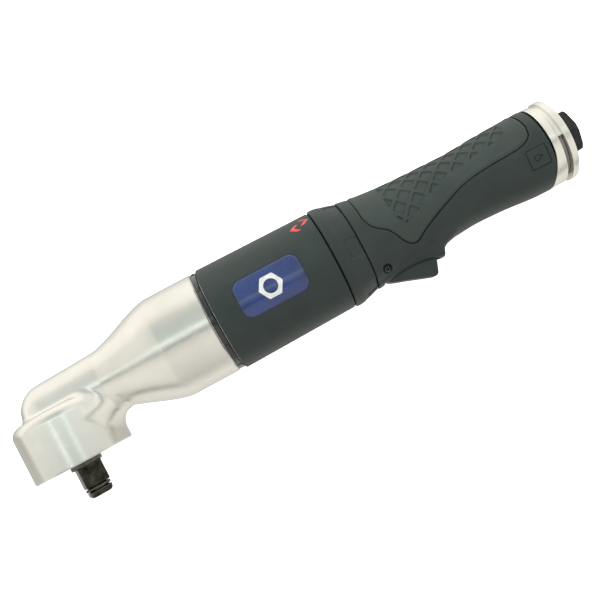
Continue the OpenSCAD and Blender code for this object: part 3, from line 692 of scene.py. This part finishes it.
def split_ring(name, span, outer, inner, gap, body, slot, material, node):
    """A sprung ring with an open gap, rounded along its edges."""
    low, high = span
    turn = np.linspace(gap / 2, 2 * math.pi - gap / 2, 97)
    corner = 0.25
    section = [(low + corner, outer), (high - corner, outer), (high, outer - corner),
               (high, inner + 0.05), (low, inner + 0.05), (low, outer - corner)]
    rings = []
    for angle in turn:
        rings.append([round_drive(AXIS_Y + a, r, angle + math.radians(150))
                      for a, r in section])
    piece = solid(name, np.array(rings))
    return done(piece, body, slot, material, node)


# ---------------------------------------------------------------- sleeve, badge and rings

def sleeve_radius(x):
    """The sleeve's slightly tapered outer radius at x."""
    return SLEEVE_R[0] + (SLEEVE_R[1] - SLEEVE_R[0]) * between(x, *SLEEVE)


def sleeve_profile(proud):
    """The sleeve's outer line from front to rear, with its rolled edges."""
    front, rear = SLEEVE
    line = [(front, sleeve_radius(front) - 1.0)]
    for angle in np.linspace(8, 90, 7):
        turn = math.radians(angle)
        line.append((front + 1.0 - math.cos(turn), sleeve_radius(front) - 1 + math.sin(turn)))
    line += [(x, sleeve_radius(x)) for x in np.linspace(front + 4, rear - 3, 24)]
    for angle in np.linspace(90, 5, 7):
        turn = math.radians(angle)
        line.append((rear - 1.1 + 1.1 * math.cos(turn),
                     sleeve_radius(rear) - 1.1 + 1.1 * math.sin(turn)))
    return [(x, r + proud) for x, r in line]


def badge_outline(grow=0.0, centre=BADGE_CENTRE):
    """The badge's rounded rectangle, seen from the side."""
    outline = rounded_box(BADGE_SIZE[0] / 2 + grow, BADGE_SIZE[1] / 2 + grow,
                          BADGE_CORNER + grow, 12)
    return outline + np.array(centre)


def motor_sleeve(material):
    """The sleeve with its bore and the badge's recess."""
    bore = [(SLEEVE[1], 22.6), (149, 22.6), (149, 25.2), (100.3, 25.2), (100.3, 26.6),
            (SLEEVE[0], 26.6)]
    piece = turned("motor_sleeve", sleeve_profile(0) + bore, 360)
    pocket = prism(badge_outline(0.35), 0, 45)
    core = turned("core", sleeve_profile(-0.55) + [(SLEEVE[1], 5), (SLEEVE[0], 5)], 360)
    cut(pocket, core)
    cut(piece, pocket)
    return done(piece, "housing", "housing_plastic", material, "motor_sleeve")


def dense(loop, spacing=0.6):
    """A closed outline with points no further apart than the spacing."""
    rows = []
    for start, end in zip(loop, np.roll(loop, -1, 0)):
        parts = max(1, math.ceil(np.linalg.norm(end - start) / spacing))
        rows += [start + (end - start) * t for t in np.arange(parts) / parts]
    return np.array(rows)


def curved_plate(name, outline, low, high, margin=0.5):
    """A plate that follows the sleeve, with a softly rolled outer edge.

    low and high are its bottom and top above the sleeve's surface."""
    outline = dense(outline)
    centre = outline.mean(0)
    reach = np.abs(outline - centre).max()

    def lay(share, rise):
        x, y = (centre + (outline - centre) * share).T
        radius = sleeve_radius(x) + rise
        return np.column_stack([x, y, np.sqrt(radius ** 2 - (y - AXIS_Y) ** 2)])

    rings = [lay(share, low) for share in np.linspace(0.05, 1, 8)]
    for t in np.linspace(0, math.pi / 2, 10)[1:]:
        inset = margin * (1 - math.cos(t))
        rings.append(lay(1 - inset / reach, low + (high - low) * math.sin(t)))
    inner = 1 - margin / reach
    rings += [lay(inner * share, high) for share in np.linspace(0.9, 0.05, 12)]
    return solid(name, rings)


def side_badge(materials):
    """A domed plate in the sleeve's recess, with a plain hexagon ring as its emblem."""
    border = prism(badge_outline(0.28), 0, 45)
    shell = turned("shell", sleeve_profile(-0.02) + sleeve_profile(-0.5)[::-1], 360)
    combine(border, shell, "INTERSECT")
    border.name = "badge_border"
    done(border, "housing", "badge_print",
         print_ink("badge_border_ink", (0.004, 0.008, 0.03), (0.008, 0.014, 0.05), (0.3, 0.4)))
    plate = curved_plate("side_badge", badge_outline(-0.25), -0.3, 0.28, 0.9)
    done(plate, "housing", "badge_print", materials["badge_print"], "side_badge")
    silver = Shader("emblem_silver", Metallic=0.55, Coat_Weight=0.8, Coat_Roughness=0.08)
    patches = silver.noise(300, 3, 0.5)
    silver.colour(silver.colours(patches, (0.3, (0.72, 0.71, 0.70)), (0.7, (0.86, 0.85, 0.84))))
    silver.roughness(silver.spread(patches, 0.30, 0.42))
    corners = np.array([(math.cos(a), math.sin(a)) for a in full_turn(6)])
    emblem = prism(rounded_polygon(6.6 * corners, 0.8) + np.array(BADGE_CENTRE), 0, 45)
    circle = np.array([(math.cos(a), math.sin(a)) for a in full_turn(64)])
    cut(emblem, prism(3.7 * circle + np.array(BADGE_CENTRE), -1, 46))
    skin = turned("skin", sleeve_profile(0.36) + sleeve_profile(0.1)[::-1], 720)
    combine(emblem, skin, "INTERSECT")
    emblem.name = "badge_emblem"
    done(emblem, "housing", "badge_print", silver.material)


def rounded_polygon(corners, radius, steps=6):
    """A convex polygon with its corners rounded."""
    corners = np.asarray(corners, float)
    outline = []
    for before, here, after in zip(np.roll(corners, 1, 0), corners, np.roll(corners, -1, 0)):
        to_before = (before - here) / np.linalg.norm(before - here)
        to_after = (after - here) / np.linalg.norm(after - here)
        half = math.acos(np.clip(to_before @ to_after, -1, 1)) / 2
        middle = (to_before + to_after) / np.linalg.norm(to_before + to_after)
        centre = here + middle * (radius / math.sin(half))
        start = here + to_before * (radius / math.tan(half)) - centre
        end = here + to_after * (radius / math.tan(half)) - centre
        a = math.atan2(start[1], start[0])
        b = math.atan2(end[1], end[0])
        sweep = (b - a + math.pi) % (2 * math.pi) - math.pi
        for t in np.linspace(0, 1, steps + 1):
            outline.append(centre + radius * np.array([math.cos(a + sweep * t),
                                                       math.sin(a + sweep * t)]))
    return np.array(outline)


def direction_marks():
    """Two plain red chevrons printed near the sleeve's rear, for the two directions."""
    red = print_ink("mark_red", (0.50, 0.018, 0.016), (0.66, 0.040, 0.034), (0.35, 0.45))
    chevron = np.array([(-1.9, 0), (0.4, 2.3), (2.1, 2.3), (0.1, 0), (2.1, -2.3), (0.4, -2.3)])
    for name, x, turn, way in (("mark_front", 150.3, 50.2, 1), ("mark_rear", 156.6, 56.2, -1)):
        arrow = dense(chevron * (1.3 * way, 1.3))
        px = x + arrow[:, 0]
        angle = math.radians(turn) + arrow[:, 1] / sleeve_radius(x)
        rows = [around(px, sleeve_radius(px) + rise, angle) for rise in (-0.05, 0.06)]
        done(solid(name, rows), "housing", "badge_print", red)


def front_ring(material):
    """The glossy ring between casing and sleeve, with small lugs in its groove."""
    front, rear = FRONT_RING
    outer = CASE_R - 0.55
    profile = [(front, SPIGOT_R + 0.02), (front, outer - 0.3), (front + 0.3, outer),
               (rear - 0.5, outer), (rear - 0.1, outer - 0.25), (rear, outer - 0.5),
               (rear, SPIGOT_R + 0.02)]
    piece = turned("front_ring", profile, 360)
    for index in range(10):
        angle = math.radians(2.2 + 36 * index)
        spread = 1.5 / 27.5
        rows = []
        for x, r, w in ((front + 0.35, 26.9, 1), (front + 0.35, 27.6, 1),
                        (front + 0.6, 27.85, 0.85), (rear - 0.75, 27.85, 0.85),
                        (rear - 0.5, 27.6, 1), (rear - 0.5, 26.9, 1)):
            rows.append([around(x, r, angle + spread * w * side)
                         for side in (-1, -0.5, 0, 0.5, 1)])
        rows = np.array(rows).transpose(1, 0, 2)
        combine(piece, solid("lug", rows), "UNION")
    return done(piece, "housing", "gloss_black", material, "front_ring")


def reverse_ring(material):
    """Front band, then six long finger pads between shallow valleys."""
    turn = full_turn(540)
    front, rear = RING
    pitch = math.radians(60)
    nearest = (turn + math.radians(3.8) + pitch / 2) % pitch - pitch / 2
    arc = np.abs(nearest) * 26.5
    half_valley = 26.5 * math.radians(11.4)
    pad_start = RING_BAND_END + 1.2
    corner = 2.2

    def outer(x):
        cone = RING_R + 0.15 - (RING_R + 0.15 - RING_REAR_R) * between(x, 163.5, rear) ** 1.35
        reach = min(max(x - pad_start, 0), corner)
        inset = corner - math.sqrt(corner ** 2 - (corner - reach) ** 2)
        valley = 1 - ease((arc - (half_valley - 0.55 - inset)) / 1.1)
        depth = 0.62 * ease((x - pad_start) / 0.8)
        step = 0.22 * ease((x - RING_BAND_END) / 0.7)
        return cone - step - depth * valley

    def roll(x, sign, radius, angles):
        """An edge rolled over at x, towards the front (-1) or the rear (1)."""
        start = outer(x - sign * radius)
        return [around(x - sign * radius * (1 - math.cos(a)), start - radius * (1 - math.sin(a)),
                       turn) for a in np.radians(angles)]

    rings = [around(front, RING_BORE_R, turn)]
    rings += roll(front, -1, 1.1, np.linspace(5, 90, 8))
    for x in np.concatenate([np.arange(front + 1.4, RING_BAND_END, 0.6),
                             np.arange(RING_BAND_END, rear - 0.7, 0.22)]):
        rings.append(around(x, outer(x), turn))
    rings += roll(rear, 1, 0.6, np.linspace(80, 0, 6))
    rings.append(around(rear, RING_BORE_R, turn))
    piece = solid("reverse_ring", rings, closed=True)
    return done(piece, "reversing_ring", "housing_plastic", material, "reverse_ring")


# ------------------------------------------------------------------------------- handle

def handle_radius(x):
    """The handle's round body, narrow at its waist."""
    before = np.maximum((WAIST_X - x) / (WAIST_X - 176), 0)
    after = ease((x - WAIST_X) / 45)
    return 20 + 4.9 * (0.58 * before + 0.42 * before ** 4) + 2.0 * after


def handle_shift(x):
    """How far the round body sits above the motor axis."""
    rise = ease((x - 196) / 44)
    fall = 1 - ease((x - 250) / 24)
    return 0.7 * rise * fall


def body_radius(x, turn):
    """Distance from the motor axis to the round body, which sits a little high."""
    shift = handle_shift(x)
    radius = handle_radius(x)
    return shift * np.sin(turn) + np.sqrt(radius ** 2 - (shift * np.cos(turn)) ** 2)


def boss_radius(x, turn):
    """Distance from the motor axis to the trigger boss, or less where there is none."""
    bottom = np.interp(x, *np.array(BOSS_CURVE).T)
    down = np.maximum(-np.sin(turn), 1e-3)
    side = np.abs(np.cos(turn))
    half = 11.6
    power = 5.0
    return ((down / bottom) ** power + (side / half) ** power) ** (-1 / power)


BOSS_CURVE = spline(BOSS_BOTTOM, 6)


def grip_outline(grow=0.0):
    """The overmould's edge in side view, closed well above the handle."""
    lower = spline(GRIP_EDGE, 8)
    outline = np.vstack([[(GRIP_EDGE[0][0], 40)], lower, [(GRIP_EDGE[-1][0], 40)]])
    if grow:
        ahead = np.roll(outline, -1, 0) - np.roll(outline, 1, 0)
        normal = np.column_stack([ahead[:, 1], -ahead[:, 0]])
        normal /= np.linalg.norm(normal, axis=1)[:, None]
        normal[0] = (-1, 0)
        normal[-1] = (1, 0)
        outline = outline + normal * grow
    return outline


def smooth_max(a, b, blend):
    """The larger of two values, rounded where they are within blend of each other."""
    gap = np.maximum(blend - np.abs(a - b), 0) / blend
    return np.maximum(a, b) + gap ** 2 * blend / 4


def handle_skin(x, turn):
    """The moulded body, blended into the trigger boss on its lower half."""
    body = body_radius(x, turn)
    return np.where(np.sin(turn) < 0, smooth_max(body, boss_radius(x, turn), 2.6), body)


def edge_gap(x, turn, radius):
    """Distance in side view from a point on the handle to the rubber's edge."""
    y = radius * np.sin(turn)
    points = np.stack(np.broadcast_arrays(x, y), -1)
    return outline_distance(points, GRIP_OUTLINE)


GRIP_OUTLINE = grip_outline()


def handle_housing(material):
    """The handle's shell, with room for rubber, trigger, pin, collar, valve and sign."""
    front, rear = HANDLE
    turn = np.concatenate([np.radians(np.arange(-170, -10, 0.8)),
                           np.radians(np.arange(-10, 190, 1.25))])
    xs = np.arange(front + 0.8, 282.0, 0.62)
    skin = handle_skin(xs[:, None], turn[None, :])
    gap = edge_gap(xs[:, None], turn[None, :], skin)
    lip = np.exp(-((np.clip(gap, 0, 9) - 0.2) / 0.55) ** 2)
    skin = skin - 0.28 * lip * (gap > -1.5)
    inner = [(295.0, 13.5), (295.0, 10), (270, 10), (270, 7), (172.4, 7),
             (172.4, 9.1), (149, 9.1), (149, 22.5), (front, 22.5)]
    rings = [around(x, r, turn) for x, r in inner]
    start = skin[0]
    for angle in np.linspace(10, 80, 5):
        a = math.radians(angle)
        rings.append(around(front + 0.7 * (1 - math.cos(a)), start - 0.7 * (1 - math.sin(a)),
                            turn))
    rings += [around(x, row, turn) for x, row in zip(xs, skin)]
    end = skin[-1]
    for angle in np.linspace(75, 0, 7):
        a = math.radians(angle)
        rings.append(around(rear - 1.5 + 1.5 * math.cos(a), end - 1.5 * (1 - math.sin(a)),
                            turn))
    rings += [around(x, r, turn) for x, r in
              [(rear, 17.4), (268, 17.4), (268, 13), (rear, 13), (rear, 13.5)]]
    piece = solid("handle_housing", rings, closed=True)
    pocket = prism(grip_offset(0.42), -45, 45)
    under_rubber = [around(x, body_radius(x, turn) - GRIP_THICKNESS - 0.1, turn)
                    for x in np.linspace(front - 1, rear, 60)]
    cut(pocket, solid("under_rubber", under_rubber))
    cut(piece, pocket)
    slot = prism([(178.6, AXIS_Y - 13.6), (178.6, AXIS_Y - 40), (210, AXIS_Y - 40),
                  (210, AXIS_Y - 14.5), (186.4, AXIS_Y - 14.5), (186.4, AXIS_Y - 13.6)],
                 -7.1, 7.1)
    cut(piece, slot)
    for side in (-1, 1):
        cut(piece, bar(PIVOT, 11.6 * side, 40.0 * side, 2.55))
    cut(piece, bar(PIVOT, -30, 30, 1.52))
    cut(piece, collar_space())
    cut(piece, rod(-10, 14.6, 7.5, 64, beside_drive(VALVE_X)))
    for cutter in icon_cutters():
        cut(piece, cutter)
    return done(piece, "housing", "housing_plastic", material, "handle_housing")


def grip_offset(grow):
    """The rubber's outline in the frame, moved out by grow."""
    outline = grip_outline(grow)
    outline[:, 1] += AXIS_Y
    return outline


def bar(place, low, high, radius, sides=48):
    """A cylinder across the tool, at (x, drop), from z = low to z = high."""
    turn = full_turn(sides)
    x = place[0] + radius * np.cos(turn)
    y = AXIS_Y - place[1] + radius * np.sin(turn)
    rings = [np.column_stack([x, y, np.full(sides, z)]) for z in (low, high)]
    return solid("bar", rings)


def parted(loop, parts=4):
    """A closed outline with each of its sides split into equal parts."""
    share = (np.arange(parts) / parts)[None, :, None]
    after = np.roll(loop, -1, 0)
    return (loop[:, None] * (1 - share) + after[:, None] * share).reshape(-1, 2)


def icon_cutters():
    """A rounded square and a plain drop, sunk into the handle near its rear."""
    centre_x, centre_turn = 274.9, math.radians(-14.3)
    surface = 21.4

    def sunk(loop, depth):
        x = centre_x + loop[:, 0]
        turn = centre_turn + loop[:, 1] / surface
        radius = body_radius(x, turn)
        return [around(x, radius + 1.0, turn), around(x, radius - depth, turn)]

    def band(outer, inner, depth):
        high_out, low_out = sunk(outer, depth)
        high_in, low_in = sunk(inner, depth)
        return solid("band", [high_out, low_out, low_in, high_in], closed=True)

    square = [parted(rounded_box(size, size - 0.3, corner, 4))
              for size, corner in ((5.6, 1.0), (5.05, 0.5))]
    cutters = [band(*square, 0.42)]
    drop = [(2.6, 0.0)]
    for angle in np.linspace(55, 305, 14):
        a = math.radians(angle)
        drop.append((-1.0 + 1.7 * math.cos(a), 1.7 * math.sin(a)))
    drop = np.array(drop)
    middle = np.array([-0.8, 0.0])
    cutters.append(band(parted(drop), parted(middle + (drop - middle) * 0.62), 0.40))
    return cutters


def lattice(x, turn, radius):
    """Relief of the diamond cells on the upper part of the rubber, from 0 to 1.

    Returns how far each point lies into a cell, and how far into the patterned patch."""
    pitch = 10.3
    across = (turn - math.radians(87.2)) * 20.6 / (pitch * 1.02)
    along = (x - 201.6) / pitch
    first, second = (along + across) % 1.0, (along - across) % 1.0
    edge = 0.5 - np.maximum(np.abs(first - 0.5), np.abs(second - 0.5))
    cell = ease((edge - 0.105) / 0.06)
    y = radius * np.sin(turn)
    lower = np.interp(x, *np.array(PATCH_EDGE).T)
    patch = ease((y - lower + 0.3) / 0.6) * ease((x - 196.8) / 0.8) * ease((268.2 - x) / 0.8)
    return cell, patch


def grip_overmold(material):
    """The rubber: a rolled edge, a low bead along it and a patch of sunken diamond cells."""
    xs = np.arange(180.6, 279.4, 0.34)
    turn = np.concatenate([np.radians(np.arange(-46, 226, 0.9)), np.radians([245, 270, 295])])
    xx, tt = xs[:, None], turn[None, :]
    skin = body_radius(xx, tt)
    inside = -edge_gap(xx, tt, skin)
    cell, patch = lattice(xx, tt, skin)
    relief = -0.75 * patch * cell
    rolled = 1.5 - np.sqrt(np.clip(1.5 ** 2 - (1.5 - np.clip(inside, 0, 1.5)) ** 2, 0, None))
    bead = 0.16 * np.exp(-((inside - 1.7) / 0.8) ** 2)
    height = skin - 0.75 * rolled / 1.5 + 0.10 + bead + relief
    height = np.where(np.sin(tt) < -0.75, 12.0, height)
    rings = [around(x, row, turn) for x, row in zip(xs, height)]
    piece = solid("grip_overmold", rings)
    combine(piece, prism(grip_offset(0.0), -45, 45), "INTERSECT")
    core_turn = full_turn(180)
    core = [around(x, body_radius(x, core_turn) - GRIP_THICKNESS, core_turn)
            for x in np.linspace(178, 281, 60)]
    cut(piece, solid("core", core))
    return done(piece, "housing", "grip_rubber", material, "grip_overmold")


def trigger(material):
    """The lever, as a rounded plate with a hole for its pin."""
    outline = spline(TRIGGER_OUTLINE, 5, closed=True)
    outline = np.column_stack([outline[:, 0], AXIS_Y - outline[:, 1]])

    def distance(p):
        flat = outline_distance(p[..., :2], outline)
        sides = np.abs(p[..., 2]) - TRIGGER_HALF_WIDTH
        return carved(flat, sides, 1.1)

    piece = skinned("trigger", distance, (178.8, -1.0, -8), (209.4, 19.5, 8), 0.3)
    cut(piece, bar(PIVOT, -10, 10, 1.6))
    return done(piece, "trigger", "housing_plastic", material, "trigger")


def trigger_pin(material):
    """A rolled spring pin: a thick-walled tube with a slit along it."""
    turn = np.linspace(math.radians(20), math.radians(340), 41) + math.radians(-30)
    rows = []
    for angle in turn:
        c, s = math.cos(angle), math.sin(angle)
        section = []
        for z, r in ((-12.9, 0.95), (-12.9, 1.3), (-12.7, 1.5), (12.7, 1.5), (12.9, 1.3),
                     (12.9, 0.95), (12.6, 0.75), (-12.6, 0.75)):
            section.append((PIVOT[0] + r * c, AXIS_Y - PIVOT[1] + r * s, z))
        rows.append(section)
    piece = solid("trigger_pin", np.array(rows))
    return done(piece, "housing", "black_oxide_steel", material, "trigger_pin")


# ----------------------------------------------------------------- deflector and bushing

def collar_space(grow=0.0):
    """The space behind the handle's rear line, round its shoulder, as one solid."""
    line = np.array(COLLAR_LINE) + (grow, AXIS_Y)
    outline = np.vstack([[(COLLAR_LINE[0][0] + grow, AXIS_Y + 30)], spline(line, 6),
                         [(COLLAR_END, AXIS_Y - 30), (COLLAR_END, AXIS_Y + 30)]])
    ring = turned("collar_space", [(278, 19.4), (278, 24), (COLLAR_END, 24),
                                   (COLLAR_END, 19.4)], 360)
    return combine(ring, prism(outline, -30, 30), "INTERSECT")


def rear_collar(material):
    """The fixed band between handle and deflector, longer on the trigger's side."""
    piece = collar_space(0.55)
    shell = turned("shell", [(277, 19.0), (277, COLLAR_R), (COLLAR_END - 0.5, COLLAR_R),
                             (COLLAR_END - 0.15, COLLAR_R - 0.15),
                             (COLLAR_END, COLLAR_R - 0.5), (COLLAR_END, 19.0)], 360)
    combine(piece, shell, "INTERSECT")
    piece.name = "rear_collar"
    return done(piece, "housing", "machined_aluminium", material, "rear_collar")


def exhaust_deflector(material):
    """A skirt with its window on one side, and the rounded flange behind it."""
    front, rear = DEFLECTOR
    profile = [
        (front, 19.4), (front, SKIRT_R - 0.2), (front + 0.2, SKIRT_R), (WINDOW_END, SKIRT_R),
        (WINDOW_END, DEFLECTOR_R - 0.3), (WINDOW_END + 0.3, DEFLECTOR_R),
        (rear - 1.1, DEFLECTOR_R), (rear - 0.5, DEFLECTOR_R - 0.2),
        (rear - 0.1, DEFLECTOR_R - 0.75), (rear, DEFLECTOR_R - 1.2),
        (rear, 14.3), (rear - 0.25, 13.55), (WINDOW_END + 0.1, 13.55), (WINDOW_END + 0.1, 19.4),
    ]
    piece = turned("exhaust_deflector", profile, 360)
    window = [[around(x, r, t) for x, r in ((front - 1, 18.0), (front - 1, 24.0),
                                            (WINDOW_END, 24.0), (WINDOW_END, 18.0))]
              for t in np.radians(np.linspace(-178, -2, 99))]
    cut(piece, solid("window", window))
    return done(piece, "deflector", "machined_aluminium", material, "exhaust_deflector")


def inlet_bushing(material):
    """The hexagon with chamfered corners, its shank, and a real thread in its bore."""
    turn = full_turn(240)
    flat = turn % math.radians(60) - math.radians(30)
    hexagon = HEX_AF / 2 / np.cos(flat)
    corner = HEX_AF / 2 / math.cos(math.radians(30))
    hexagon = np.minimum(hexagon, corner - 0.18)
    front, rear = HEX
    rings = [around(271.6, 4.4, turn), around(271.6, 9.6, turn), around(272.0, 10.0, turn),
             around(front, 10.0, turn), around(front, 11.0, turn)]
    for inward, trim in ((0.02, 0.55), (0.3, 0.2), (0.6, 0.0)):
        rings.append(around(front + inward, np.minimum(hexagon, corner - trim - 0.1), turn))
    for inward, trim in ((1.3, 0.0), (0.95, 0.12), (0.6, 0.35), (0.3, 0.7), (0.08, 1.0)):
        rings.append(around(rear - inward, np.minimum(hexagon, corner - trim), turn))
    rings.append(around(rear, np.minimum(hexagon, corner - 1.1) - 0.12, turn))
    rings.append(around(rear, 7.4, turn))
    pitch, depth = 1.41, 0.62
    thread_floor = INLET_R + 0.05
    for x in np.arange(rear - 0.1, rear - 13.8, -0.176):
        phase = ((rear - x) / pitch + turn / (2 * math.pi)) % 1.0
        tooth = 1 - np.abs(2 * phase - 1)
        lead = ease((rear - x) / 1.2)
        widen = 1 - lead
        rings.append(around(x, thread_floor + widen + depth * tooth * lead, turn))
    rings.append(around(rear - 14, thread_floor, turn))
    rings.append(around(rear - 14, 4.4, turn))
    piece = solid("inlet_bushing", rings, closed=True)
    return done(piece, "housing", "black_zinc_steel", material, "inlet_bushing")


# ---------------------------------------------------------------------- frame and stage

def finish_frame(frame, materials):
    """Gives every CAD node that stays in view the finish of its record slot."""
    finishes = {part["node"]: part["material_slot"] for part in frame["record"]["subparts"]}
    for name, node in frame["nodes"].items():
        node.data.materials.clear()
        node.data.materials.append(materials[finishes[name]])
        shade(node.data)


def softbox(name, place, target, size, radiance, colour=(1, 1, 1)):
    """A rectangular light of an even radiance, which the camera doesn't see."""
    data = bpy.data.lights.new(name, "AREA")
    data.shape = "RECTANGLE"
    data.size, data.size_y = size
    data.energy = radiance * math.pi * size[0] * size[1]
    data.color = colour
    light = bpy.data.objects.new(name, data)
    light.location = place
    direction = Vector(target) - Vector(place)
    light.rotation_euler = direction.to_track_quat("-Z", "Y").to_euler()
    light.visible_camera = False
    bpy.context.scene.collection.objects.link(light)
    return light


def angle_ramp(nodes, links, share, stops):
    """A colour ramp over the angle from straight up towards +Y, from -180 to 180 degrees.

    Each stop is (degrees, radiance, how cool it is)."""
    warm, cool = np.array((1.0, 0.995, 0.955)), np.array((0.90, 1.0, 0.975))
    node = nodes.new("ShaderNodeValToRGB")
    elements = node.color_ramp.elements
    while len(elements) < len(stops):
        elements.new(1.0)
    for element, (degrees, radiance, coolness) in zip(elements, stops):
        element.position = degrees / 360 + 0.5
        element.color = (*(radiance * (warm + (cool - warm) * coolness)), 1)
    links.new(share, node.inputs["Fac"])
    return node.outputs["Color"]


def surround():
    """A room that is brighter and darker by the angle round the motor axis.

    Overhead it has a cool panel with a dark edge, and towards the head and the inlet it is
    warmer, with a dark strip low down on the drive's side."""
    low = [(-180, 0.62, 0), (-150, 0.80, 0), (-122, 0.92, 0)]
    high = [(60, 0.98, 0), (80, 1.18, 0), (115, 1.20, 0), (140, 0.85, 0), (160, 0.50, 0),
            (180, 0.60, 0)]
    overhead = low + [
        (-90, 0.62, 0), (-60, 0.76, 0), (-30, 0.88, 0), (-9, 0.80, 0), (-6.5, 0.20, 1),
        (-3.5, 0.20, 1), (-1, 0.70, 1), (3, 0.74, 1), (4.5, 1.50, 1), (9, 1.50, 1),
        (11.5, 0.70, 1), (38, 0.68, 1), (56, 0.80, 0),
    ] + high
    ends = low + [
        (-107, 0.90, 0), (-101, 0.32, 0), (-94, 0.32, 0), (-86, 0.85, 0), (-60, 0.98, 0),
        (-30, 1.00, 0), (-11, 0.85, 0), (-8, 0.25, 1), (-5, 0.25, 1), (-2.5, 0.76, 0),
        (4, 0.80, 0), (6, 1.40, 1), (11, 1.40, 1), (14, 0.90, 0), (35, 0.98, 0),
    ] + high
    world = bpy.data.worlds.new("surround")
    world.use_nodes = True
    nodes, links = world.node_tree.nodes, world.node_tree.links
    axes = nodes.new("ShaderNodeSeparateXYZ")
    links.new(nodes.new("ShaderNodeTexCoord").outputs["Generated"], axes.inputs[0])
    angle = nodes.new("ShaderNodeMath")
    angle.operation = "ARCTAN2"
    links.new(axes.outputs["Y"], angle.inputs[0])
    links.new(axes.outputs["Z"], angle.inputs[1])
    share = nodes.new("ShaderNodeMapRange")
    share.inputs["From Min"].default_value = -math.pi
    share.inputs["From Max"].default_value = math.pi
    links.new(angle.outputs[0], share.inputs["Value"])
    across = nodes.new("ShaderNodeValToRGB")
    elements = across.color_ramp.elements
    while len(elements) < 4:
        elements.new(1.0)
    for element, (x, level) in zip(elements, ((-0.70, 0), (-0.10, 1), (0.20, 1), (0.42, 0))):
        element.position = x / 2 + 0.5
        element.color = (level, level, level, 1)
    sideways = nodes.new("ShaderNodeMapRange")
    sideways.inputs["From Min"].default_value = -1
    links.new(axes.outputs["X"], sideways.inputs["Value"])
    links.new(sideways.outputs["Result"], across.inputs["Fac"])
    blend = nodes.new("ShaderNodeMix")
    blend.data_type = "RGBA"
    links.new(across.outputs["Color"], blend.inputs[0])
    links.new(angle_ramp(nodes, links, share.outputs["Result"], ends), blend.inputs[6])
    links.new(angle_ramp(nodes, links, share.outputs["Result"], overhead), blend.inputs[7])
    links.new(blend.outputs[2], nodes["Background"].inputs["Color"])
    bpy.context.scene.world = world


def studio():
    """A white sweep, the surround and a few softboxes."""
    level = min(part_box(name)[0].z for name in ("angle_housing", "motor_sleeve"))
    size = 1.6
    mesh = bpy.data.meshes.new("floor")
    corners = [(-size, -size, level), (size + 0.3, -size, level), (size + 0.3, size, level),
               (-size, size, level)]
    mesh.from_pydata(corners, [], [(0, 1, 2, 3)])
    floor = make_object("floor", mesh)
    paper = Shader("floor_paper", Emission_Color=(1, 1, 1, 1), Emission_Strength=1.0)
    fibre = paper.noise(400, 3, 0.5)
    paper.colour(paper.colours(fibre, (0.3, (0.86, 0.86, 0.86)), (0.7, (0.90, 0.90, 0.90))))
    paper.roughness(paper.spread(fibre, 0.85, 0.95))
    mesh.materials.append(paper.material)
    floor.visible_glossy = False
    floor.visible_diffuse = False
    floor.visible_shadow = False

    surround()
    middle = (0.13, 0.03, 0.0)
    key = softbox("key", (0.10, 0.45, 0.42), middle, (0.8, 0.5), 2.2)
    key.visible_glossy = False
    head = (0.0, 0.01, 0.0)
    softbox("head_left", (-0.17, 0.02, 0.70), head, (0.12, 0.09), 0.75, (0.93, 1, 0.98))
    softbox("head_right", (0.22, 0.02, 0.70), head, (0.14, 0.09), 0.45, (0.93, 1, 0.98))
    scene = bpy.context.scene
    scene.view_settings.view_transform = "Standard"
    scene.view_settings.look = "None"


def camera():
    """Looks almost straight down on the tool, which rises to the right in the frame."""
    tilt, roll, lean = math.radians(1.6), math.radians(28.3), math.radians(2.8)
    back = Vector((-math.sin(tilt), 0, math.cos(tilt)))
    along = Vector((math.cos(tilt), 0, math.sin(tilt)))
    up_tool = Vector((0, 1, 0))
    right = along * math.cos(roll) - up_tool * math.sin(roll)
    up = along * math.sin(roll) + up_tool * math.cos(roll)
    data = bpy.data.cameras.new("camera")
    data.sensor_width = 36
    data.lens = 49.28
    data.clip_start, data.clip_end = 0.01, 10
    eye = bpy.data.objects.new("camera", data)
    bpy.context.scene.collection.objects.link(eye)
    turn = Matrix((right, up, back)).transposed().to_4x4()
    motor_axis = Matrix.Translation((0, AXIS_Y * MM, 0))
    level = Matrix.Translation((0.1245, -0.0103, 0.427)) @ turn
    eye.matrix_world = motor_axis @ Matrix.Rotation(lean, 4, "X") @ level
    bpy.context.scene.camera = eye


def main():
    """Builds the tool, the stage and the camera."""
    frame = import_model()
    materials = make_materials()
    finish_frame(frame, materials)
    angle_housing(materials["cast_aluminium"])
    square_drive(materials["black_oxide_steel"])
    split_ring("socket_retainer", (11.5, 13.0), 6.75, 5.75, math.radians(24), "spindle",
               "black_oxide_steel", materials["black_oxide_steel"], "socket_retainer")
    front_ring(materials["gloss_black"])
    motor_sleeve(materials["housing_plastic"])
    side_badge(materials)
    direction_marks()
    reverse_ring(materials["housing_plastic"])
    handle_housing(materials["housing_plastic"])
    grip_overmold(materials["grip_rubber"])
    trigger(materials["housing_plastic"])
    trigger_pin(materials["black_oxide_steel"])
    rear_collar(materials["machined_aluminium"])
    exhaust_deflector(materials["machined_aluminium"])
    inlet_bushing(materials["black_zinc_steel"])
    studio()
    camera()


main()
